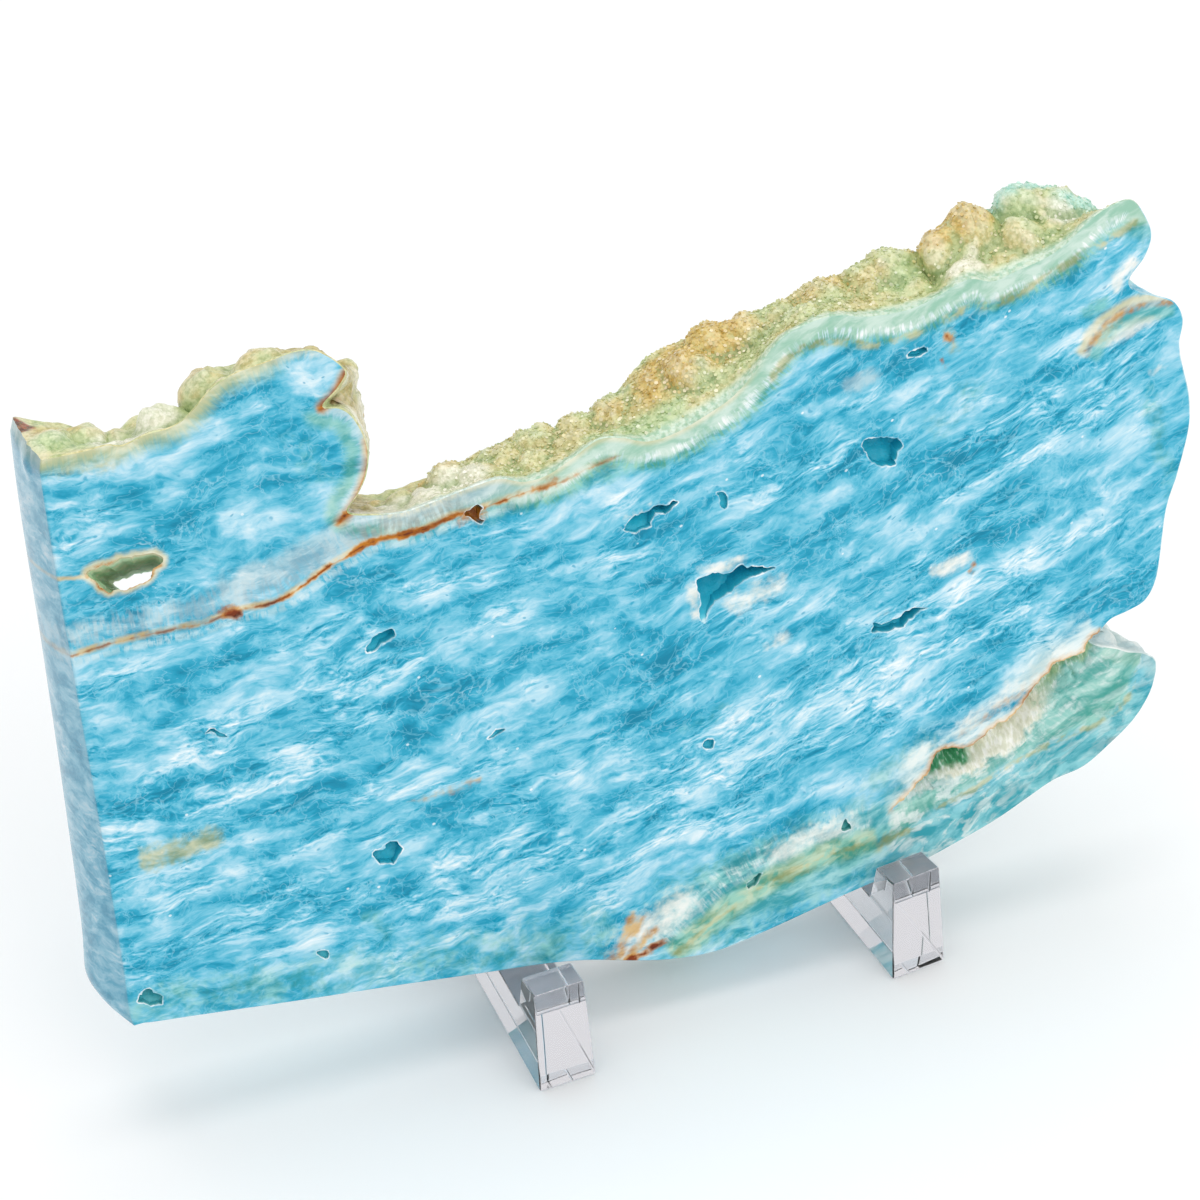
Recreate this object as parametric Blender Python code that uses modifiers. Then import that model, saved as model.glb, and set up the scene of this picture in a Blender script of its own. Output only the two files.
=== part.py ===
"""A polished aragonite slab standing on two clear acrylic feet.

Three pieces: the stone, and the left and right foot. The stone is one natural piece, with a druse
crust along its top edge, a lobe at the lower right, pits in its polished face, a cleft between the
lobe and the rest, and a hole that goes through near its left end.

Stone shapes are given in the stone's own frame: u along the slab, v up its leaning face, w from the
polished front face into the stone. All of those are millimetres and become metres in one place.
"""

import math

import bmesh
import bpy
from mathutils import Vector, noise

MM = 0.001

# Driving dimensions of the stone, in millimetres and degrees.
SLAB_THICKNESS = 20.8
SLAB_LEAN = 8.9
SLAB_FRONT_Y = -21.3
SLAB_MIDDLE_X = -38.4
OUTLINE_STEP = 2.5
DEPTH_STEPS = 8

# Driving dimensions of a foot, in millimetres.
FOOT_WIDTH = 12.7
FOOT_DRAFT = 0.03
LIP_HEIGHT = 27.1
LIP_BACK_HEIGHT = 25.8
LIP_TOP_DEPTH = 7.8
LIP_FOOT_DEPTH = 10.6
BASE_HEIGHT = 15.6
BACK_REST_DEPTH = 38.4
BACK_REST_HEIGHT = 68.0
BACK_REST_TOP = 7.0
FOOT_LENGTH = 64.0
GROOVE_RADIUS = 1.0
FOOT_EDGE = 0.4

# Where each foot's front left bottom corner stands, in millimetres, and its turn in degrees.
FEET = {
    "left_stand_foot": (-38.4, -35.4, 4.6),
    "right_stand_foot": (42.9, -29.6, 8.5),
}

# The outline of the polished front face, round the stone, as (u, v, du, dv).
# du and dv say how far that point of the edge has moved when it reaches the back face.
SAWN_END = [
    (-79.8, 31.2, -2.4, 0.6), (-79.3, 45.0, -3.0, 0.0), (-78.4, 75.0, -3.2, 0.0),
    (-77.7, 110.0, -3.4, 0.0), (-77.0, 140.0, -3.4, 0.0), (-76.4, 158.0, -3.4, 0.0),
]
LEFT_CRUST = [
    (-75.8, 160.6, -3.0, -1.5), (-72.5, 160.3, -1.5, -4.5), (-68.0, 160.2, 0.0, -5.0),
    (-63.0, 160.4, 0.0, -7.0), (-60.0, 159.6, 0.0, -8.0), (-55.0, 160.8, 0.0, -6.0),
    (-51.0, 161.0, 0.0, -6.0), (-48.0, 162.0, 1.0, -9.0),
]
HUMP = [
    (-45.0, 164.2, 1.0, -9.0), (-41.0, 167.5, 2.0, -8.0), (-36.0, 169.4, 2.0, -8.0),
    (-30.0, 170.2, 2.0, -8.5), (-25.0, 171.0, 2.0, -9.0), (-21.0, 170.6, 3.0, -9.0),
    (-18.0, 168.6, 4.0, -9.0), (-15.6, 165.8, 4.0, -8.0), (-15.0, 163.8, 4.5, -7.0),
    (-17.2, 161.0, 7.0, -6.0), (-20.4, 158.2, 9.5, -4.5), (-17.4, 157.2, 6.5, -4.5),
    (-15.2, 155.0, 4.5, -4.0), (-13.6, 151.0, 3.0, -3.0), (-13.0, 146.5, 2.0, -3.0),
    (-14.2, 141.5, 2.0, -3.0), (-16.4, 137.8, 2.5, -4.0), (-18.8, 134.6, 2.5, -6.0),
]
CRUST = [
    (-14.0, 132.9, 1.0, -8.0), (-8.0, 132.0, 0.0, -7.0), (-2.0, 132.7, 0.0, -6.0),
    (6.0, 134.0, 0.0, -5.5), (12.0, 134.5, 0.0, -4.0), (17.0, 132.6, 0.0, -1.0),
    (22.0, 133.0, 0.0, 0.0), (27.0, 135.2, 0.0, -3.0), (33.0, 138.0, 0.0, -6.0),
    (38.0, 137.2, 0.0, -4.0), (43.0, 135.2, 0.0, 2.0), (49.0, 135.7, 0.0, 7.0),
    (55.0, 137.8, 0.0, 7.0), (61.0, 140.5, 0.0, 5.0), (66.0, 144.6, 0.0, 0.0),
    (70.0, 148.8, 0.0, -4.0), (74.0, 151.6, 0.0, -5.0), (80.0, 153.1, 0.0, -4.0),
    (85.0, 153.1, 0.0, -2.0), (90.0, 151.6, 0.0, 0.0), (96.0, 150.9, 0.0, 1.5),
    (101.0, 151.1, 0.0, 1.0), (106.0, 152.4, 0.0, 1.0), (111.0, 154.3, 0.0, 2.0),
    (114.0, 154.3, 0.0, 3.0), (118.0, 152.9, 0.0, 4.0), (123.0, 154.0, 0.0, 5.0),
    (129.0, 155.3, 0.0, 3.0), (134.0, 157.6, 0.0, -1.0), (139.0, 161.4, 0.0, -6.0),
    (144.0, 163.5, -1.0, -9.0), (148.5, 163.7, -2.0, -9.0),
]
RIGHT_EDGE = [
    (151.2, 159.5, -2.0, -8.0), (152.4, 155.0, -2.0, -6.0), (150.8, 150.6, -2.0, -5.0),
    (147.2, 146.4, -1.0, -4.0), (148.2, 143.6, 0.0, -2.0), (152.6, 141.4, 0.0, -3.0),
    (156.6, 139.0, -1.0, -4.0), (158.4, 134.6, -1.0, -2.0), (157.4, 129.6, 0.0, 0.0),
    (157.7, 125.0, 0.0, 0.0), (159.0, 117.0, 0.0, 0.0), (158.6, 109.5, 0.0, 0.0),
    (155.8, 100.0, 0.0, 0.0), (152.8, 92.0, 0.0, 0.0), (151.0, 82.0, 0.0, 0.0),
    (149.6, 75.5, 0.0, 0.0), (147.0, 71.4, 0.0, 1.0), (143.0, 69.8, 0.0, 2.0),
    (139.0, 68.8, 0.0, 2.0), (136.4, 66.4, 0.0, 1.0),
]
LOBE = [
    (134.6, 64.0, 0.0, 0.0), (137.4, 62.2, 0.0, -4.0), (140.2, 60.3, -1.0, -7.0),
    (142.6, 58.2, -2.0, -8.0), (146.0, 57.4, -3.0, -7.0), (148.4, 55.2, -3.0, -5.0),
    (148.2, 51.5, -3.0, -2.0), (146.4, 47.4, -2.0, 0.0), (143.0, 43.0, -1.0, 0.0),
    (138.0, 39.0, 0.0, 0.0), (131.0, 34.5, 0.0, 0.0), (124.0, 33.0, 0.0, 0.0),
    (117.0, 29.8, 0.0, 0.0), (110.0, 26.6, 0.0, 0.0),
]
BELLY = [
    (100.0, 23.2, 0.0, 0.0), (92.0, 20.8, 0.0, -0.6), (86.0, 19.5, 0.0, 0.3),
    (79.0, 18.3, 0.0, 1.2), (70.0, 16.4, 0.0, 0.6), (60.0, 14.2, 0.0, 0.0), (50.0, 12.2, 0.0, 0.0),
    (43.0, 11.6, 0.0, 0.0), (35.0, 12.5, 0.0, 0.0), (27.0, 14.5, 0.0, 0.0),
    (18.0, 17.3, 0.0, 0.9), (12.6, 18.5, 0.0, 1.0), (6.0, 19.6, 0.0, 0.0), (-8.0, 21.3, 0.0, -1.2),
    (-25.0, 23.4, 0.0, 0.0), (-45.0, 25.7, 0.0, 0.0), (-65.0, 28.2, 0.0, 0.0),
    (-77.6, 29.8, -1.0, 0.4),
]

# The round lumps of the druse crust, as (u, v, w, radius).
LUMPS = [
    (-72.0, 156.0, 9.0, 5.5), (-66.0, 155.0, 13.0, 5.5), (-62.0, 153.0, 6.0, 5.0),
    (-54.5, 154.0, 12.0, 6.0), (-48.0, 155.0, 18.0, 6.5), (-39.5, 156.0, 15.0, 8.0),
    (-31.0, 160.0, 12.0, 8.0), (-23.0, 160.0, 13.0, 8.0), (-16.5, 151.5, 11.5, 7.0),
    (-17.5, 158.0, 9.5, 6.0), (-12.0, 126.5, 8.0, 5.5), (-6.0, 127.0, 13.0, 5.0),
    (-1.0, 127.5, 8.0, 5.5), (5.0, 128.0, 14.0, 6.0), (10.0, 129.0, 9.0, 6.0),
    (16.5, 129.0, 14.0, 6.0), (21.0, 129.5, 7.0, 5.5), (24.0, 130.0, 15.0, 6.5),
    (31.0, 131.5, 8.0, 6.5), (33.0, 130.0, 16.0, 6.0), (40.5, 133.5, 16.0, 6.0),
    (46.0, 134.0, 11.0, 5.5), (50.5, 138.0, 16.0, 6.5), (57.0, 141.0, 12.0, 7.0),
    (63.5, 142.5, 16.0, 7.5), (57.0, 136.5, 6.0, 5.0), (71.0, 144.0, 10.0, 6.5),
    (77.0, 146.5, 15.0, 6.5), (80.0, 148.0, 7.0, 6.0), (87.5, 147.5, 14.0, 6.5),
    (89.5, 147.0, 6.0, 5.0), (96.0, 147.5, 15.0, 6.5), (99.0, 147.0, 7.0, 5.0),
    (104.5, 149.5, 9.0, 4.5), (107.5, 150.0, 15.0, 6.5), (111.5, 150.5, 6.0, 5.5),
    (117.0, 155.5, 14.0, 6.8), (120.5, 152.0, 8.0, 4.0), (126.0, 154.0, 11.0, 6.5),
    (130.5, 157.0, 17.0, 6.0), (134.5, 153.5, 10.0, 5.5), (140.0, 154.5, 13.0, 5.5),
    (139.0, 56.5, 8.0, 5.0), (144.0, 53.5, 6.0, 4.5),
]

# The hole at the left, which slants down as it goes back.
HOLE_OUTLINE = [
    (-71.6, 133.6), (-71.0, 134.8), (-67.0, 135.1), (-64.4, 136.1), (-61.6, 135.6),
    (-58.2, 135.2), (-56.6, 134.0), (-58.2, 131.8), (-60.2, 130.0), (-63.2, 129.4),
    (-66.4, 129.2), (-68.6, 129.8), (-69.6, 131.8),
]
HOLE_DRIFT = (5.2, -11.8)
HOLE_END_SCALE = 0.78

# The cleft between the lobe and the rest. It is deepest under the upper edge.
CLEFT_UPPER_EDGE = [
    (137.0, 67.2), (134.4, 65.9), (133.0, 64.0), (130.8, 62.3), (127.0, 61.7), (124.8, 60.5),
    (122.0, 58.4), (119.6, 55.6), (117.0, 52.8), (113.6, 50.7), (110.0, 49.0), (106.6, 47.2),
    (102.8, 46.8), (99.4, 47.8), (97.2, 45.4), (94.8, 41.9), (91.6, 39.4), (88.0, 37.2),
]
CLEFT_LOWER_EDGE = [
    (92.0, 37.4), (97.0, 40.9), (102.0, 42.2), (107.0, 43.0), (112.0, 45.4), (117.0, 48.4),
    (121.0, 51.2), (124.5, 54.8), (129.0, 58.6), (133.0, 61.6), (138.0, 61.8),
]
CLEFT_DEPTH = 9.0
CLEFT_DRIFT = (-1.2, 1.6)
CLEFT_END_SCALE = 0.93

# The larger pits in the polished face, each with its depth.
PITS = {
    "long_pit": (6.5, [
        (50.2, 101.2), (53.4, 102.1), (57.0, 101.5), (60.2, 102.1), (63.2, 101.1), (66.8, 100.3),
        (61.6, 99.6), (56.4, 98.9), (52.6, 97.2), (51.4, 94.4), (49.4, 93.2), (50.2, 97.2),
    ]),
    "low_pit": (5.0, [
        (86.0, 80.2), (86.6, 82.1), (88.6, 81.4), (92.6, 81.8), (94.6, 83.0), (98.0, 82.6),
        (94.8, 80.6), (92.2, 79.1), (88.4, 79.0),
    ]),
    "round_pit": (5.5, [
        (87.9, 123.2), (89.4, 124.3), (92.2, 124.0), (95.8, 122.5), (95.0, 119.2),
        (93.4, 117.2), (91.0, 117.3), (89.3, 118.8), (88.2, 121.0),
    ]),
    "upper_pit": (4.5, [
        (36.0, 116.2), (38.0, 118.7), (42.0, 119.7), (47.6, 120.4), (46.0, 118.8),
        (42.8, 118.2), (41.0, 116.2), (38.0, 115.3),
    ]),
    "left_pit": (3.5, [
        (-20.0, 103.5), (-19.0, 105.3), (-16.0, 106.5), (-13.4, 107.0), (-14.6, 104.7),
        (-17.0, 103.7), (-19.0, 102.5),
    ]),
    "lower_left_pit": (4.0, [
        (-24.6, 55.4), (-23.9, 56.7), (-22.2, 57.0), (-20.4, 58.5), (-18.6, 56.5),
        (-19.5, 54.4), (-21.0, 53.0), (-24.0, 53.3),
    ]),
    "corner_pit": (3.5, [
        (-79.0, 35.2), (-77.3, 36.1), (-75.3, 37.8), (-73.8, 36.0), (-72.6, 33.5), (-75.4, 34.0),
    ]),
    "small_upper_pit": (3.0, [
        (98.8, 140.1), (99.4, 141.4), (102.4, 142.0), (102.7, 140.7), (101.0, 139.9),
    ]),
    "rusty_pit": (3.0, [
        (4.2, 128.2), (5.9, 129.3), (7.9, 128.6), (7.1, 127.5), (7.7, 125.5), (5.9, 126.2),
    ]),
}


def clear_scene():
    for thing in list(bpy.data.objects):
        bpy.data.objects.remove(thing, do_unlink=True)


def new_collection(name, hidden=False):
    collection = bpy.data.collections.new(name)
    bpy.context.scene.collection.children.link(collection)
    collection.hide_render = hidden
    return collection


def material(name, colour, roughness, transmission=0.0, ior=1.5):
    made = bpy.data.materials.new(name)
    made.use_nodes = True
    shader = made.node_tree.nodes["Principled BSDF"]
    shader.inputs["Base Color"].default_value = (*colour, 1.0)
    shader.inputs["Roughness"].default_value = roughness
    shader.inputs["Metallic"].default_value = 0.0
    shader.inputs["Transmission Weight"].default_value = transmission
    shader.inputs["IOR"].default_value = ior
    return made


def extruded_outline(name, outline, near, far, collection):
    """A closed plate: the outline (a, b) in the local XZ plane, from Y = near to Y = far."""
    curve = bpy.data.curves.new(name, "CURVE")
    curve.dimensions = "2D"
    curve.fill_mode = "BOTH"
    curve.extrude = (far - near) / 2 * MM
    spline = curve.splines.new("POLY")
    spline.points.add(len(outline) - 1)
    for point, (a, b) in zip(spline.points, outline):
        point.co = (a * MM, b * MM, 0.0, 1.0)
    spline.use_cyclic_u = True
    drawn = bpy.data.objects.new(name + "_outline", curve)
    collection.objects.link(drawn)
    bpy.context.view_layer.update()
    graph = bpy.context.evaluated_depsgraph_get()
    mesh = bpy.data.meshes.new_from_object(drawn.evaluated_get(graph))
    bpy.data.objects.remove(drawn, do_unlink=True)
    middle = (near + far) / 2 * MM
    for vertex in mesh.vertices:
        a, b, depth = vertex.co
        vertex.co = (a, middle - depth, b)
    shape = bmesh.new()
    shape.from_mesh(mesh)
    bmesh.ops.remove_doubles(shape, verts=shape.verts, dist=1e-6)
    bmesh.ops.recalc_face_normals(shape, faces=shape.faces)
    shape.to_mesh(mesh)
    shape.free()
    made = bpy.data.objects.new(name, mesh)
    collection.objects.link(made)
    return made


def taper(made, near, far, drift, end_scale):
    """Move and shrink a plate evenly from its near end to its far end."""
    points = [vertex.co.copy() for vertex in made.data.vertices]
    middle = sum(points, Vector()) / len(points)
    for vertex in made.data.vertices:
        share = (vertex.co.y / MM - near) / (far - near)
        scale = 1.0 + (end_scale - 1.0) * share
        vertex.co.x = middle.x + (vertex.co.x - middle.x) * scale + drift[0] * MM * share
        vertex.co.z = middle.z + (vertex.co.z - middle.z) * scale + drift[1] * MM * share


def smooth_loop(rows, step):
    """Rows on a closed Catmull-Rom curve through the given rows, about one step apart."""
    count = len(rows)
    found = []
    for i in range(count):
        before, start, end, after = (rows[(i + k - 1) % count] for k in range(4))
        length = math.dist(start[:2], end[:2])
        pieces = max(1, round(length / step))
        for j in range(pieces):
            t = j / pieces
            weights = (
                -0.5 * t + t * t - 0.5 * t**3,
                1.0 - 2.5 * t * t + 1.5 * t**3,
                0.5 * t + 2.0 * t * t - 1.5 * t**3,
                -0.5 * t * t + 0.5 * t**3,
            )
            corners = zip(before, start, end, after)
            found.append(tuple(sum(w * c for w, c in zip(weights, four)) for four in corners))
    return found


def outward_normals(rows, reach=2):
    """The outline's outward directions, for a loop that runs clockwise as seen from the front."""
    count = len(rows)
    found = []
    for i in range(count):
        back = rows[(i - reach) % count]
        ahead = rows[(i + reach) % count]
        along = Vector((ahead[0] - back[0], ahead[1] - back[1]))
        found.append(Vector((-along.y, along.x)).normalized())
    return found


def pushed_out(point, outward, lumps):
    """How far outward a point has to go to lie on the outermost lump that covers it."""
    most = 0.0
    for u, v, w, radius in lumps:
        away = point - Vector((u, v, w))
        if away.length_squared > 4 * radius * radius:
            continue
        along = away.x * outward.x + away.y * outward.y
        inside = along * along - away.length_squared + radius * radius
        if inside > 0.0:
            most = max(most, math.sqrt(inside) - along)
    return most


def rim_point(row, outward, share):
    """The point (u, v, w) of the stone's rim at this share of the way from front to back."""
    u, v, du, dv = row
    eased = math.sin(share * math.pi / 2)
    point = Vector((u + du * eased, v + dv * eased, share * SLAB_THICKNESS))
    near_front = min(1.0, point.z / 3.0)
    push = pushed_out(point, outward, LUMPS) * near_front
    if u > 135.0 and v < 158.0:
        push += 0.7 * near_front * noise.noise(point * 0.13)
    return Vector((point.x + outward.x * push, point.y + outward.y * push, point.z))


def stone_block(name, collection):
    """The stone before its pits, hole and cleft: its rim lofted from the front to the back face."""
    rows = smooth_loop(SAWN_END + LEFT_CRUST + HUMP + CRUST + RIGHT_EDGE + LOBE + BELLY, OUTLINE_STEP)
    normals = outward_normals(rows)
    shape = bmesh.new()
    rings = []
    for step in range(DEPTH_STEPS + 1):
        ring = []
        for row, outward in zip(rows, normals):
            u, v, w = rim_point(row, outward, step / DEPTH_STEPS)
            ring.append(shape.verts.new((u * MM, w * MM, v * MM)))
        rings.append(ring)
    shape.faces.new(rings[0])
    shape.faces.new(rings[-1][::-1])
    count = len(rows)
    for near, far in zip(rings, rings[1:]):
        for i in range(count):
            following = (i + 1) % count
            shape.faces.new((near[i], far[i], far[following], near[following]))
    bmesh.ops.recalc_face_normals(shape, faces=shape.faces)
    mesh = bpy.data.meshes.new(name)
    shape.to_mesh(mesh)
    shape.free()
    made = bpy.data.objects.new(name, mesh)
    collection.objects.link(made)
    return made


def place_on_stone_plane(made):
    """Stand a shape that is given in the stone's frame where the leaning stone is."""
    made.location = (SLAB_MIDDLE_X * MM, SLAB_FRONT_Y * MM, 0.0)
    made.rotation_euler = (-math.radians(SLAB_LEAN), 0.0, 0.0)


def cut(made, cutter):
    cutter.display_type = "WIRE"
    cutter.hide_render = True
    modifier = made.modifiers.new("cut_" + cutter.name, "BOOLEAN")
    modifier.operation = "DIFFERENCE"
    modifier.solver = "EXACT"
    modifier.object = cutter


def make_slab(parts, cutters, finish):
    slab = stone_block("slab", parts)
    slab.data.materials.append(finish)
    place_on_stone_plane(slab)
    beyond = 1.0
    hole = extruded_outline("hole", HOLE_OUTLINE, -beyond, SLAB_THICKNESS + beyond, cutters)
    taper(hole, 0.0, SLAB_THICKNESS, HOLE_DRIFT, HOLE_END_SCALE)
    cleft = extruded_outline("cleft", CLEFT_UPPER_EDGE + CLEFT_LOWER_EDGE, -beyond, CLEFT_DEPTH, cutters)
    taper(cleft, 0.0, CLEFT_DEPTH, CLEFT_DRIFT, CLEFT_END_SCALE)
    holes = [hole, cleft]
    for name, (depth, outline) in PITS.items():
        pit = extruded_outline(name, outline, -beyond, depth, cutters)
        taper(pit, 0.0, depth, (0.0, 0.0), 0.6)
        holes.append(pit)
    for cutter in holes:
        place_on_stone_plane(cutter)
        cut(slab, cutter)


def rounded_corner(before, corner, after, radius, steps=4):
    """Points of the arc that rounds this corner of a polyline."""
    to_before = (before - corner).normalized()
    to_after = (after - corner).normalized()
    half = to_before.angle(to_after) / 2
    bisector = (to_before + to_after).normalized()
    centre = corner + bisector * radius / math.sin(half)
    start = corner + to_before * radius / math.tan(half) - centre
    end = corner + to_after * radius / math.tan(half) - centre
    return [tuple(centre + start.slerp(end, i / steps)) for i in range(steps + 1)]


def foot_profile():
    """The side view of a foot as (y, z): lip, rounded groove, base and leaning back rest."""
    lip = Vector((LIP_TOP_DEPTH, LIP_BACK_HEIGHT))
    groove = Vector((LIP_FOOT_DEPTH, BASE_HEIGHT))
    rest = Vector((BACK_REST_DEPTH, BASE_HEIGHT))
    rise = BACK_REST_HEIGHT - BASE_HEIGHT
    rest_top = rest + Vector((rise * math.tan(math.radians(SLAB_LEAN)), rise))
    return [
        (0.0, 0.0), (0.0, LIP_HEIGHT), tuple(lip),
        *rounded_corner(lip, groove, rest, GROOVE_RADIUS),
        *rounded_corner(groove, rest, rest_top, GROOVE_RADIUS),
        tuple(rest_top), (rest_top.x + BACK_REST_TOP, BACK_REST_HEIGHT), (FOOT_LENGTH, 0.0),
    ]


def make_foot(name, x, y, turn, parts, finish):
    """A solid acrylic foot. Its side view is drawn flat, extruded across and narrowed upwards."""
    foot = extruded_outline(name, foot_profile(), 0.0, FOOT_WIDTH, parts)
    middle = FOOT_WIDTH * MM / 2
    for vertex in foot.data.vertices:
        along, across, up = vertex.co
        narrowed = (middle - across) * (1.0 - FOOT_DRAFT * up / middle)
        vertex.co = (middle + narrowed, along, up)
    shape = bmesh.new()
    shape.from_mesh(foot.data)
    bmesh.ops.recalc_face_normals(shape, faces=shape.faces)
    shape.to_mesh(foot.data)
    shape.free()
    edge = foot.modifiers.new("polished_edge", "BEVEL")
    edge.width = FOOT_EDGE * MM
    edge.segments = 2
    edge.limit_method = "ANGLE"
    edge.angle_limit = math.radians(40)
    foot.location = (x * MM, y * MM, 0.0)
    foot.rotation_euler = (0.0, 0.0, math.radians(turn))
    foot.data.materials.append(finish)


def main():
    clear_scene()
    parts = new_collection("polished_aragonite_slab")
    cutters = new_collection("cutters", hidden=True)
    stone = material("polished_blue_aragonite", (0.16, 0.52, 0.66), 0.12)
    acrylic = material("clear_acrylic", (0.97, 0.97, 0.98), 0.02, transmission=1.0, ior=1.49)
    make_slab(parts, cutters, stone)
    for name, (x, y, turn) in FEET.items():
        make_foot(name, x, y, turn, parts, acrylic)


main()
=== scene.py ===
# %% [markdown]
# A polished slab of blue aragonite, standing on two clear acrylic feet.
# The stone grew in thin fibrous layers, was sawn flat and polished on its faces, and kept its
# natural druse crust along the top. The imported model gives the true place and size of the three
# pieces. This lesson gives the stone its fine surface and its colours, and the feet their clear plastic.

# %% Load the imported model
import math

import bmesh
import bpy
import numpy as np
from mathutils import Matrix, Vector, geometry, kdtree, noise


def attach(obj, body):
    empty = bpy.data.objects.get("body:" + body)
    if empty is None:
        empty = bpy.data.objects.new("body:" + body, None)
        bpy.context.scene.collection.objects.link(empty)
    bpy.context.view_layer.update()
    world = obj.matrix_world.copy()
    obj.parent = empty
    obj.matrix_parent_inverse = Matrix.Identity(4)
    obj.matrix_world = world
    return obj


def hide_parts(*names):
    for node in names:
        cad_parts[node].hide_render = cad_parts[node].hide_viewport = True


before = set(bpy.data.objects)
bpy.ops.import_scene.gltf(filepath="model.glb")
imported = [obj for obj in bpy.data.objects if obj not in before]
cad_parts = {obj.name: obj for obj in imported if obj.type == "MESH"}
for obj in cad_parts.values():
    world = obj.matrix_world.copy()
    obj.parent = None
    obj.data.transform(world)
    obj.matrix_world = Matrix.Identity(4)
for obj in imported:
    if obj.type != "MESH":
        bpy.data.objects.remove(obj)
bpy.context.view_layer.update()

MM = 0.001

# %% [markdown]
# The stone leans back on its feet, so its shapes are easier to draw flat and stand up afterwards.
# In the stone's own frame, u runs along the slab, v runs up its leaning face, and w runs from the
# polished front into the stone, all in millimetres. One function turns those into the frame's metres.

# %% The stone's own frame
SLAB_THICKNESS = 20.8
SLAB_LEAN = math.radians(8.9)
SLAB_FRONT_Y = -21.3
SLAB_MIDDLE_X = -38.4


def stand_up(points):
    """Stone points (u, v, w) in millimetres, as frame points in metres."""
    u, v, w = np.asarray(points, float).T
    y = SLAB_FRONT_Y + v * math.sin(SLAB_LEAN) + w * math.cos(SLAB_LEAN)
    z = v * math.cos(SLAB_LEAN) - w * math.sin(SLAB_LEAN)
    return np.stack([u + SLAB_MIDDLE_X, y, z], axis=1) * MM


print("middle of the front face, in metres:", stand_up([(37.0, 90.0, 0.0)])[0])

# %% [markdown]
# The outline of the polished face, drawn from the photo as (u, v, du, dv) and going round
# clockwise. The stone isn't a straight cut plate: its edges slant as they go back, and du and dv say
# how far each point has moved by the back face. Few points are enough, because a smooth curve is
# drawn through them.

# %% Outline of the stone
SAWN_END = [
    (-79.8, 31.2, -6.0, 0.6), (-79.3, 45.0, -5.4, 0.0), (-78.4, 75.0, -4.6, 0.0),
    (-77.7, 110.0, -3.6, 0.0), (-77.0, 140.0, -3.2, 0.0), (-76.4, 158.0, -2.6, 0.0),
]
LEFT_CRUST = [
    (-75.8, 160.2, -2.2, 0.6), (-72.5, 160.3, -1.5, -1.2), (-68.0, 160.2, 0.0, -3.4),
    (-63.0, 160.4, 0.0, -7.6), (-60.0, 159.6, 0.0, -7.6), (-55.0, 160.8, 0.0, -5.8),
    (-51.0, 161.0, 0.0, -6.6), (-48.0, 162.0, 1.0, -10.0),
]
HUMP = [
    (-45.0, 164.2, 1.6, -8.4), (-41.0, 167.5, 2.0, -6.4), (-36.0, 169.4, 2.0, -7.8),
    (-30.0, 170.2, 2.0, -7.8), (-25.0, 171.0, 2.0, -8.6), (-21.0, 170.6, 1.6, -9.0),
    (-18.0, 168.6, 1.6, -9.6), (-15.6, 165.8, 2.6, -9.0), (-15.0, 163.8, 4.0, -8.0),
    (-17.2, 161.0, 7.0, -6.0), (-20.4, 158.2, 9.5, -4.5), (-17.4, 157.2, 6.5, -4.5),
    (-15.2, 155.0, 4.5, -4.0), (-13.6, 151.0, 3.0, -3.0), (-13.0, 146.5, 2.0, -3.0),
    (-14.2, 141.5, 1.5, -3.0), (-16.4, 137.8, 1.0, -3.0), (-18.8, 134.6, 0.5, -4.0),
]
CRUST = [
    (-14.0, 132.9, 0.0, -5.0), (-8.0, 132.0, 0.0, -5.6), (-2.0, 132.7, 0.0, -5.4),
    (6.0, 134.0, 0.0, -5.5), (12.0, 134.5, 0.0, -4.0), (17.0, 132.6, 0.0, -1.0),
    (22.0, 133.0, 0.0, 0.0), (27.0, 135.2, 0.0, -3.0), (33.0, 138.0, 0.0, -6.0),
    (38.0, 137.2, 0.0, -4.0), (43.0, 135.2, 0.0, 2.0), (49.0, 135.7, 0.0, 7.0),
    (55.0, 137.8, 0.0, 7.0), (61.0, 140.5, 0.0, 5.0), (66.0, 144.6, 0.0, 0.0),
    (70.0, 148.8, 0.0, -4.0), (74.0, 151.6, 0.0, -5.0), (80.0, 153.1, 0.0, -4.0),
    (85.0, 153.1, 0.0, -2.0), (90.0, 151.6, 0.0, 0.0), (96.0, 150.9, 0.0, 1.5),
    (101.0, 151.1, 0.0, 1.0), (106.0, 152.4, 0.0, -3.4), (111.0, 154.3, 0.0, -0.6),
    (114.0, 154.3, 0.0, 3.0), (118.0, 152.9, 0.0, 4.0), (123.0, 154.0, 0.0, 5.0),
    (129.0, 155.3, 0.0, 3.0), (134.0, 157.6, 0.0, -1.0), (139.0, 161.4, 0.0, -6.0),
    (144.0, 163.5, -1.0, -9.0), (148.5, 163.7, -2.0, -9.0),
]
RIGHT_EDGE = [
    (151.2, 159.5, -2.0, -8.0), (152.4, 155.0, -2.0, -6.0), (150.8, 150.6, -2.0, -5.0),
    (147.2, 146.4, -1.0, -4.0), (148.2, 143.6, 0.0, -2.0), (152.6, 141.4, 0.0, -3.0),
    (156.6, 139.0, -1.0, -4.0), (158.4, 134.6, -1.0, -2.0), (157.4, 129.6, 0.0, 0.0),
    (157.7, 125.0, 0.0, 0.0), (159.0, 117.0, 0.0, 0.0), (158.6, 109.5, 0.0, 0.0),
    (155.8, 100.0, 0.0, 0.0), (152.8, 92.0, 0.0, 0.0), (151.0, 82.0, 0.0, 0.0),
    (149.6, 75.5, 0.0, 0.0), (147.0, 71.4, 0.0, 1.0), (143.0, 69.8, 0.0, 2.0),
    (139.0, 68.8, 0.0, 2.0), (136.4, 66.4, 0.0, 1.0),
]
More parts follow.
